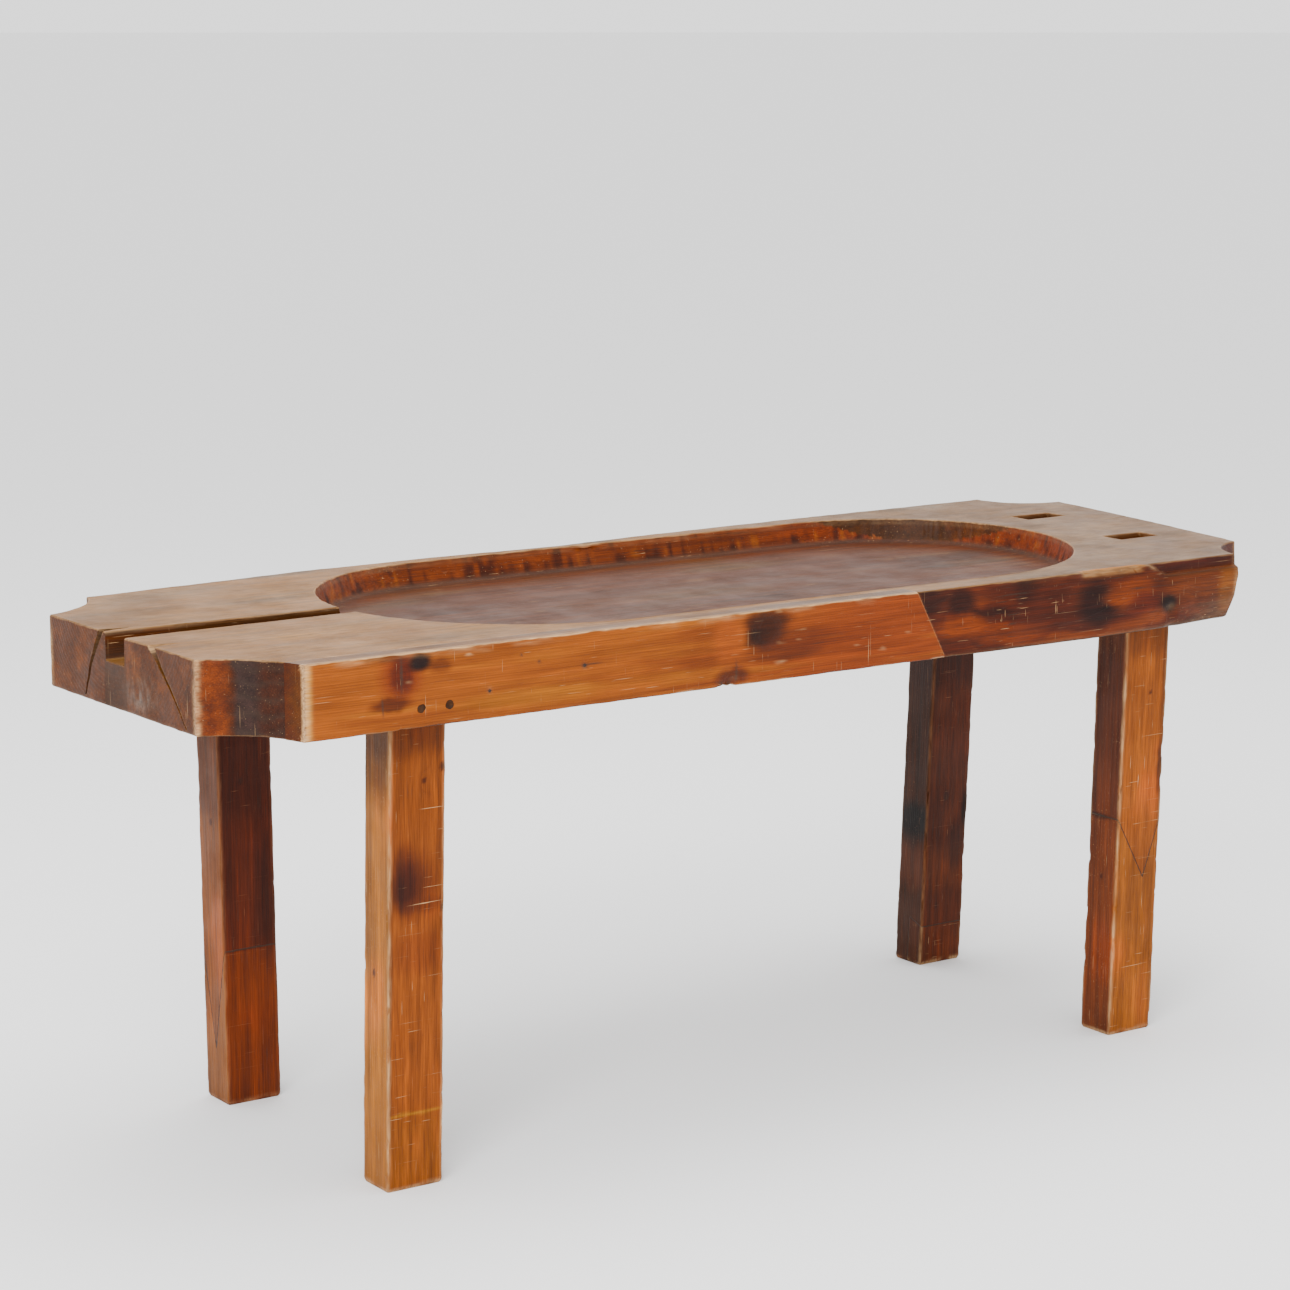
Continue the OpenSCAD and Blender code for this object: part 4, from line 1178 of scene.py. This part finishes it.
def splice_cutter(name, leg, half, arm, tongue, apex, axis, gap):
    """Everything below a V splice whose tongue hangs from the height arm, drawn along an axis."""
    wide = 180
    lift = gap * math.hypot(half, tongue) / half
    shape = [(-wide, -wide), (wide, -wide), (wide, arm + lift), (half, arm + lift),
             (apex, arm - tongue + lift), (-half, arm + lift), (-wide, arm + lift)]
    cutter = prism(name, shape, -wide, wide, axis)
    return lean_object(cutter, leg)


def lean_object(piece, leg):
    """Leans the mesh of a cutter or a leg in place."""
    count = len(piece.data.vertices)
    place = np.zeros(count * 3)
    piece.data.vertices.foreach_get("co", place)
    place = lean(place.reshape(-1, 3) * 1000, leg) / 1000
    piece.data.vertices.foreach_set("co", place.ravel())
    piece.data.update()
    return piece


def v_distance(across, z, half, arm, tongue, apex):
    """Distance to the two arms of a V splice."""
    arms = []
    for side in (-1, 1):
        foot = np.array([apex, arm - tongue])
        end = np.array([side * half, arm])
        way = (end - foot) / np.hypot(*(end - foot))
        arms.append(np.where((across - apex) * side >= 0,
                             np.abs((across - foot[0]) * way[1] - (z - foot[1]) * way[0]), 99))
    return np.minimum(*arms)


def paint_leg(piece, leg, spec, legs, seed):
    """Colours of a leg, face by face, with burns, knots, a splice line and worn arrises. The
    face-by-face colours are painted light and shade. The dark bands high up, the dark patches high
    on the left faces, and the darker foot and shoulder are painted shade.
    """
    world, n = points_of(piece)
    foot, top = leg
    p = world.copy()
    p[:, :2] -= foot + top * (world[:, 2:3] / SHOULDER)
    x, y, z = p.T
    q = p + [seed * 31, seed * 17, 0]
    cloud = rough(q, (60, 60, 130), 131)
    streak = rough(q, (8, 8, 190), 132)
    faces = {"left": rise(-n[:, 0], 0.4, 0.8), "front": rise(-n[:, 1], 0.4, 0.8),
             "right": rise(n[:, 0], 0.4, 0.8), "back": rise(n[:, 1], 0.4, 0.8)}
    tone = np.tile(np.array(linear(spec["colour"])), (len(p), 1))
    # Each face takes its own colour, lighter where the key light reaches and darker where it doesn't:
    # painted light and shade
    for face, hex_colour in spec["faces"].items():
        tone = tint(tone, linear(hex_colour), faces[face])
    tone = tone * (1 + 0.32 * streak + 0.22 * cloud)[:, None]
    tone = tint(tone, tone * [1.25, 1.05, 0.8], rise(cloud, 0.1, 0.6))
    # Bands up the leg; the dark bands high up are painted shade under the slab
    for low, high, hex_colour, share in spec.get("bands", ()):
        edge = z + 9 * noise(q, (24, 24, 30), 133)
        tone = tint(tone, linear(hex_colour), share * rise(edge, low - 14, low + 14)
                    * (1 - rise(edge, high - 14, high + 14)))
    grime = 0 * x
    for face, across, height, radii, hex_colour, share in spec.get("marks", ()):
        side = {"left": -y, "front": x, "right": y, "back": -x}[face]
        flat = np.stack([side, z], 1) + 2.5 * np.stack([noise(q, (12, 12, 12), 134),
                                                       noise(q, (12, 12, 12), 135)], 1)
        tone = tint(tone, linear(hex_colour), share * faces[face] * spot(
            flat, (across, height), radii, 0.5))
    pith_x, pith_y = spec.get("pith", (60, 90))
    ring = np.hypot(x - pith_x, y - pith_y + 0.02 * z) + 2.4 * rough(q, (40, 40, 260), 136)
    for face, across, height, reach, lift in spec.get("knots", ()):
        side = {"left": -y, "front": x, "right": y, "back": -x}[face]
        far = np.sqrt(((side - across) / reach) ** 2 + ((z - height) / (reach * 1.7)) ** 2)
        ring = ring + lift * np.exp(-far ** 1.6) * rise(faces[face], 0.1, 0.6)
        inside = (1 - rise(far, 0.25, 0.5)) * faces[face]
        tone = tint(tone, linear("#55270f"), 0.8 * inside)
        grime = np.maximum(grime, 0.5 * inside * rise(noise(q, (5, 5, 5), 137), -0.2, 0.4))
    seam = np.full(len(p), 9.0)
    if "splice" in spec:
        axis, half, arm, tongue, apex = spec["splice"]
        seam = v_distance((x, y)[axis], z, half, arm, tongue, apex)
        seam = np.where(np.abs(n[:, 1 - axis]) > 0.5, seam, np.abs(z - arm) / 1.2)
    if "patch" in spec:
        high, rising = spec["patch"]
        line = high + rising * (y + 33) / 33
        seam = np.minimum(np.abs(z - line) + 50 * (y > 1), np.abs(y) + 50 * (z > high + rising))
    corner = rise(np.minimum(np.abs(x) - 36, np.abs(y) - 25.5), 2.0, 6.5)
    wear = corner * (0.55 + 0.45 * noise(q, (30, 30, 34), 138)) * spec.get("wear", 0.8)
    wear = np.maximum(wear, 0.5 * (1 - rise(z, 2, 9)) * rise(noise(q, (20, 20, 9), 139), -0.5, 0.3))
    # Painted shade: darker where the foot meets the floor, and just below the shoulder where the leg
    # meets the slab
    grime = np.maximum(grime, 0.5 * (1 - rise(z, 0.5, 3.5)))
    grime = np.maximum(grime, 0.55 * rise(z, SHOULDER - 7, SHOULDER - 1))
    figure = 0.55 + 0.3 * cloud
    paint(piece, tone, ring=ring + seed * 13, wear=np.clip(wear, 0, 1), grime=grime, seam=seam,
          figure=np.clip(figure, 0, 1))


# Each leg: its faces' colours, which are painted light and shade, lighter on the faces the key
# light reaches and darker on the faces turned away from it and on the inner faces under the table;
# bands and marks, where the dark bands high up and the dark patches high on the left faces are
# painted shade under the slab; knots and the joint lines that show
LEG_LOOKS = {
    "front_left": {
        "colour": "#a8693c", "pith": (-10, 120), "wear": 0.9,
        "faces": {"left": "#c08a58", "front": "#ac6a3a", "right": "#8a4f2a", "back": "#8a5a38"},
        "bands": [(600, 700, "#6d3c20", 0.45), (-40, 104, "#b07a4a", 0.3)],
        # The first mark, a dark patch high on the left face, is painted shade under the slab
        "marks": [("left", 0, 600, (40, 60), "#5e4026", 0.55),
                  ("front", -17, 421, (17, 32), "#2c1712", 0.97),
                  ("front", -8, 421, (34, 44), "#6a341b", 0.7),
                  ("front", -20, 455, (16, 26), "#6a341b", 0.5),
                  ("front", 5, 395, (36, 10), "#7a4423", 0.5),
                  ("front", 0, 106, (45, 2.5), "#d6ab78", 0.7),
                  ("front", 5, 330, (40, 30), "#8e4d27", 0.5)],
        "knots": [("front", 41, 388, 9, 8), ("front", 38, 580, 10, 9), ("front", 10, 564, 7, 7),
                  ("left", -5, 300, 9, 8)]},
    "back_left": {
        "colour": "#763e27", "pith": (-90, 40), "wear": 0.45,
        "faces": {"left": "#a06a42", "front": "#7a4028", "right": "#5a3018", "back": "#6b432a"},
        "bands": [(560, 720, "#3a2016", 0.6), (430, 560, "#5b2d18", 0.35)],
        # The first mark, a dark patch high on the left face, is painted shade under the slab
        "marks": [("left", -10, 600, (24, 60), "#6d4a30", 0.6),
                  ("front", 30, 300, (12, 90), "#3c1e12", 0.6)],
        "knots": [("front", -8, 480, 9, 8), ("left", 5, 420, 9, 8)],
        "splice": (1, 33, 232, 152, 0)},
    "front_right": {
        "colour": "#a8663a", "pith": (80, -70), "wear": 0.85,
        "faces": {"left": "#7d4626", "front": "#b2703c", "right": "#8a5228", "back": "#7a4a2a"},
        "bands": [(600, 700, "#8a5530", 0.5)],
        # The first mark, a dark patch high on the inner left face, is painted shade under the table
        "marks": [("left", 0, 520, (30, 110), "#633417", 0.5),
                  ("front", -14, 435, (13, 60), "#c47a33", 0.75),
                  ("front", 36, 420, (5, 44), "#4a2614", 0.6),
                  ("left", -10, 345, (24, 5), "#331a10", 0.7)],
        "knots": [("front", 43, 514, 8, 8), ("front", 10, 540, 6, 7), ("left", 0, 250, 8, 8)],
        "splice": (0, 43.5, 345, 97, 12)},
    "back_right": {
        "colour": "#693821", "pith": (20, -80), "wear": 0.5,
        "faces": {"left": "#5e3a24", "front": "#6e3c22", "right": "#4e2c1a", "back": "#5a3a26"},
        "bands": [(470, 700, "#4a2516", 0.45), (130, 200, "#8a4f2a", 0.4)],
        "marks": [("left", 0, 244, (40, 30), "#22140f", 0.95),
                  ("front", 40, 260, (9, 30), "#22140f", 0.85),
                  ("front", 0, 420, (30, 70), "#7d4322", 0.5),
                  ("front", 20, 200, (22, 40), "#3d2013", 0.5)],
        "knots": [("front", -3, 287, 14, 16), ("front", 40, 346, 8, 8), ("front", -14, 100, 7, 7)],
        "patch": (66, 12)},
}


class CHEESE_OT_legs(bpy.types.Operator):
    """Shape the four legs, cut their splices and patch, and lean them as the frame has them"""
    bl_idname = "cheese_table.legs"
    bl_label = "Legs"

    def execute(self, context):
        legs = context.scene.cheese_table.legs
        materials = {
            "leg_pine": old_pine("oiled_leg_pine", 2, 4.4, late=0.55, fibre=0.42, pores=0.35,
                                 scratches=0.6, gloss=0.5, relief=0.4),
            "dark_leg_pine": old_pine("sooty_leg_pine", 2, 4.0, late=0.5, fibre=0.42, pores=0.45,
                                      scratches=0.35, gloss=0.48, relief=0.4,
                                      worn=linear("#a5714a"))}
        places = leg_places()
        notches = {"back_right": [(1, -1, 247, 4, 7), (1, -1, 208, 6, 6), (1, -1, 228, 12, 3)],
                   "front_right": [(1, -1, 396, 6, 5), (1, -1, 455, 9, 3)]}
        for k, (name, leg) in enumerate(places.items()):
            look = LEG_LOOKS[name]
            grid = leg_grid(legs, 141 + 20 * k, 2.6, notches.get(name, ()))
            grid = np.clip(lean(grid, leg), LOW, HIGH)
            piece = closed_mesh("leg_" + name + "_pine", grid)
            lower = None
            slot = "leg_pine" if name.startswith("front") else "dark_leg_pine"
            if "splice" in look:
                axis, half, arm, tongue, apex = look["splice"]
                lower = piece.copy()
                lower.data = piece.data.copy()
                lower.name = "leg_" + name + "_foot_pine"
                bpy.context.scene.collection.objects.link(lower)
                for part, gap, way in ((piece, 0.25, "DIFFERENCE"), (lower, 0, "INTERSECT")):
                    carve(part, [splice_cutter("splice", leg, half, arm, tongue, apex,
                                               1 - axis, gap)], way)
            if "patch" in look:
                high, rising = look["patch"]
                lower = piece.copy()
                lower.data = piece.data.copy()
                lower.name = "leg_" + name + "_patch_pine"
                bpy.context.scene.collection.objects.link(lower)
                for part, gap, way in ((piece, 0.25, "DIFFERENCE"), (lower, 0, "INTERSECT")):
                    wedge = [(-180, -180), (gap, -180), (gap, high + rising + gap),
                             (-33, high + gap), (-180, high + gap)]
                    cutter = lean_object(prism("patch", wedge, -180, 180, 0), leg)
                    carve(part, [cutter], way)
            nodes = LEG_NODES[name]
            paint_leg(piece, leg, look, legs, k)
            finish_piece(piece, materials[slot], nodes[:1])
            if lower is not None:
                look = dict(look, pith=(-60, 30))
                # The lower pieces' own front and left face colours: painted light and shade, as for
                # the faces above
                if name == "back_left":
                    look["faces"] = dict(look["faces"], front="#8f4d2b", left="#a8744a")
                if name == "front_right":
                    look["faces"] = dict(look["faces"], front="#b97a45", left="#8d5029")
                if name == "back_right":
                    look["faces"] = dict(look["faces"], front="#7a4220", left="#6d4022")
                paint_leg(lower, leg, look, legs, k + 5)
                slot = "leg_pine" if name != "back_left" else "dark_leg_pine"
                finish_piece(lower, materials[slot], nodes[1:])
        return {"FINISHED"}


# Pegs and nails


def whittled_pin(name, x, z, face, back, radius, way, seed, head=0.0, head_deep=0.0):
    """A whittled pin along Y: rings whose radius wavers with the angle, a slightly domed and
    crooked end at the face, and a middle point at each end. Way is 1 into +Y and -1 into -Y."""
    turn = np.linspace(0, 2 * math.pi, 28, endpoint=False)
    waver = 1 + 0.035 * np.cos(3 * turn + seed) + 0.03 * np.cos(5 * turn + 2 * seed)
    long = (back - face) * way
    share = [0, 0.35, 0.7, 0.92, 1, 1]
    depth = [-0.5, -0.45, -0.25, 0.1, 0.9, 3]
    if head:
        share += [1, radius / head, radius / head]
        depth += [head_deep, head_deep, head_deep + 1]
    size = head if head else radius
    last = share[-1]
    share += [last, last * 0.9, last * 0.5, 0]
    depth += [long * 0.5, long, long, long]
    share, depth = np.array(share)[:, None], np.array(depth)[:, None]
    ring = size * share * waver
    grid = np.stack([x + ring * np.cos(turn), face + way * (depth + 0 * turn),
                     z + ring * np.sin(turn)], -1)
    grid[..., 1] += 0.35 * way * noise(grid, (5, 50, 5), seed)
    return np.clip(grid, LOW, HIGH)


def join_pins(name, grids, tone, material, nodes):
    """Several pins as one piece, painted in one tone that darkens in cracks across their ends."""
    parts = [closed_mesh(name, grid) for grid in grids]
    work = bmesh.new()
    for part in parts:
        work.from_mesh(part.data)
    work.to_mesh(parts[0].data)
    work.free()
    for part in parts[1:]:
        bpy.data.objects.remove(part)
    p, n = points_of(parts[0])
    colour_at = np.tile(np.array(tone), (len(p), 1)) * (1 + 0.3 * noise(p, (5, 9, 5), 151))[:, None]
    ring = np.hypot(p[:, 0] % 43, p[:, 2] * 0.6)
    paint(parts[0], colour_at, ring=ring, wear=0.0, figure=0.6, seam=9.0,
          grime=0.5 * rise(noise(p, (3, 9, 4), 152), 0, 0.6))
    finish_piece(parts[0], material, nodes)


class CHEESE_OT_pegs(bpy.types.Operator):
    """Drive the whittled tenon pegs, flush with the slab's edges"""
    bl_idname = "cheese_table.pegs"
    bl_label = "Tenon pegs"

    def execute(self, context):
        pegs = context.scene.cheese_table.pegs
        pine = old_pine("whittled_peg_wood", 1, 2.2, late=0.5, fibre=0.3, pores=0.8,
                        scratches=0.1, gloss=0.6, relief=0.5)
        for k, (node, count) in enumerate(PEG_NODES.items()):
            low, high = (np.array(corner) * 1000 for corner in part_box(node))
            radius = mm(pegs.diameter) / 2
            z = (low[2] + high[2]) / 2
            way = 1 if "front" in node else -1
            face, back = (low[1], high[1]) if way > 0 else (high[1], low[1])
            if way < 0:
                face -= 2
            places = np.linspace(low[0] + radius, high[0] - radius, count)
            grids = [whittled_pin(node, x, z, face + way * (0.1 if k != 1 else 2.2), back, radius,
                                  way, 7 * k + i) for i, x in enumerate(places)]
            join_pins(node + "_whittled", grids, pegs.end_grain, pine, [node])
        return {"FINISHED"}


PEG_NODES = {"front_left_leg_pegs": 2, "front_right_leg_peg": 1, "back_left_leg_pegs": 2,
             "back_right_leg_peg": 1}


class CHEESE_OT_nails(bpy.types.Operator):
    """Forge the two wrought nails of the front board, sunk in its face"""
    bl_idname = "cheese_table.nails"
    bl_label = "Wrought nails"

    def execute(self, context):
        pegs = context.scene.cheese_table.pegs
        # Wrought iron blackened by age: rough, dull, with a trace of brown
        iron = bpy.data.materials.new("blackened_wrought_iron")
        iron.use_nodes = True
        tree = iron.node_tree
        tree.nodes.clear()
        place = add(tree, "ShaderNodeTexCoord").outputs["Object"]
        scale = stretched(tree, place, (700, 700, 700), detail=3)
        rust = mix(tree, span(tree, scale, 0.45, 0.65), (*pegs.iron, 1), (*linear("#4a2c1c"), 1))
        bump = add(tree, "ShaderNodeBump", {"Height": scale, "Strength": 0.5, "Distance": 0.0006})
        shader = add(tree, "ShaderNodeBsdfPrincipled", {"Base Color": rust, "Metallic": 0.6,
                     "Roughness": 0.62, "Normal": bump.outputs[0]})
        add(tree, "ShaderNodeOutputMaterial", {"Surface": shader.outputs[0]})
        low, high = (np.array(corner) * 1000 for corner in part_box("board_nails"))
        head = 4.5
        places = [(low[0] + head, low[2] + head), (high[0] - head, high[2] - head)]
        grids = [whittled_pin("nail", x, z, low[1] + 1.6, high[1], 2.2, 1, 5 + k, head=head,
                              head_deep=2) for k, (x, z) in enumerate(places)]
        join_pins("board_nails_wrought", grids, pegs.iron, iron, ["board_nails"])
        return {"FINISHED"}


# Studio


class CHEESE_OT_studio(bpy.types.Operator):
    """Lay the pale floor, hang the soft lights and set the camera where the photographer stood"""
    bl_idname = "cheese_table.studio"
    bl_label = "Studio"

    def execute(self, context):
        studio = context.scene.cheese_table.studio
        camera = bpy.data.objects.new("camera", bpy.data.cameras.new("camera"))
        camera.location = studio.place
        camera.rotation_euler = (math.pi / 2 - studio.tilt, 0, -studio.turn)
        camera.data.lens = studio.lens
        camera.data.sensor_width = 36
        camera.data.clip_end = 2000
        context.scene.collection.objects.link(camera)
        context.scene.camera = camera

        turn = np.linspace(0, 2 * math.pi, 96, endpoint=False)
        reach = np.array([0, 1, 2, 4, 8, 16, 40, 120, 500.0])[:, None]
        grid = np.stack([reach * np.cos(turn), reach * np.sin(turn), 0 * reach + 0 * turn], -1)
        floor = bpy.data.meshes.new("studio_floor")
        floor.from_pydata(grid.reshape(-1, 3).tolist(), [], grid_faces(9, 96).tolist())
        ground = bpy.data.objects.new("studio_floor", floor)
        context.scene.collection.objects.link(ground)
        work = bmesh.new()
        work.from_mesh(floor)
        bmesh.ops.remove_doubles(work, verts=work.verts, dist=1e-5)
        bmesh.ops.recalc_face_normals(work, faces=work.faces)
        work.to_mesh(floor)
        work.free()
        paper = bpy.data.materials.new("matt_studio_paper")
        paper.use_nodes = True
        tree = paper.node_tree
        tree.nodes.clear()
        shader = add(tree, "ShaderNodeBsdfPrincipled", {"Base Color": (*studio.floor, 1),
                     "Roughness": 0.9, "Specular IOR Level": 0.1})
        add(tree, "ShaderNodeOutputMaterial", {"Surface": shader.outputs[0]})
        floor.materials.append(paper)

        world = bpy.data.worlds.new("studio_air")
        context.scene.world = world
        world.use_nodes = True
        world.node_tree.nodes["Background"].inputs["Color"].default_value = (1, 1, 1, 1)
        world.node_tree.nodes["Background"].inputs["Strength"].default_value = 1.75
        for name, place, aim, size, power in (
                ("key", (-3.2, -3.0, 3.6), (0, 0, 0.5), 2.4, studio.key),
                ("overhead", (0.5, 0.5, 4.2), (0, 0, 0.5), 3.0, studio.key * 0.5)):
            lamp = bpy.data.lights.new(name, "AREA")
            lamp.energy = power
            lamp.size = size
            light = bpy.data.objects.new(name, lamp)
            light.location = place
            way = np.array(aim) - np.array(place)
            flat = math.hypot(way[0], way[1])
            light.rotation_euler = (math.atan2(flat, -way[2]), 0, math.atan2(-way[0], way[1]))
            context.scene.collection.objects.link(light)
        return {"FINISHED"}


class CHEESE_PT_table(bpy.types.Panel):
    """Sizes and colours of the table, and the operators that build it"""
    bl_idname = "CHEESE_PT_table"
    bl_label = "Cheese making table"
    bl_space_type = "VIEW_3D"
    bl_region_type = "UI"
    bl_category = "Cheese table"

    def draw(self, context):
        for operator in OPERATORS:
            self.layout.operator(operator.bl_idname)
        table = context.scene.cheese_table
        for part in ("slab", "board", "legs", "pegs", "studio"):
            box = self.layout.box()
            box.label(text=part.capitalize())
            for name in getattr(table, part).__annotations__:
                box.prop(getattr(table, part), name)


OPERATORS = (CHEESE_OT_studio, CHEESE_OT_slab, CHEESE_OT_board, CHEESE_OT_legs, CHEESE_OT_pegs,
             CHEESE_OT_nails)
CLASSES = (SlabSettings, BoardSettings, LegSettings, PegSettings, StudioSettings, TableSettings,
           *OPERATORS, CHEESE_PT_table)


def register():
    for cls in CLASSES:
        bpy.utils.register_class(cls)
    bpy.types.Scene.cheese_table = bpy.props.PointerProperty(type=TableSettings)


def unregister():
    del bpy.types.Scene.cheese_table
    for cls in reversed(CLASSES):
        bpy.utils.unregister_class(cls)


def main():
    """Builds the table piece by piece."""
    register()
    bpy.ops.cheese_table.studio()
    bpy.ops.cheese_table.slab()
    bpy.ops.cheese_table.board()
    bpy.ops.cheese_table.legs()
    bpy.ops.cheese_table.pegs()
    bpy.ops.cheese_table.nails()


if __name__ == "__main__":
    main()
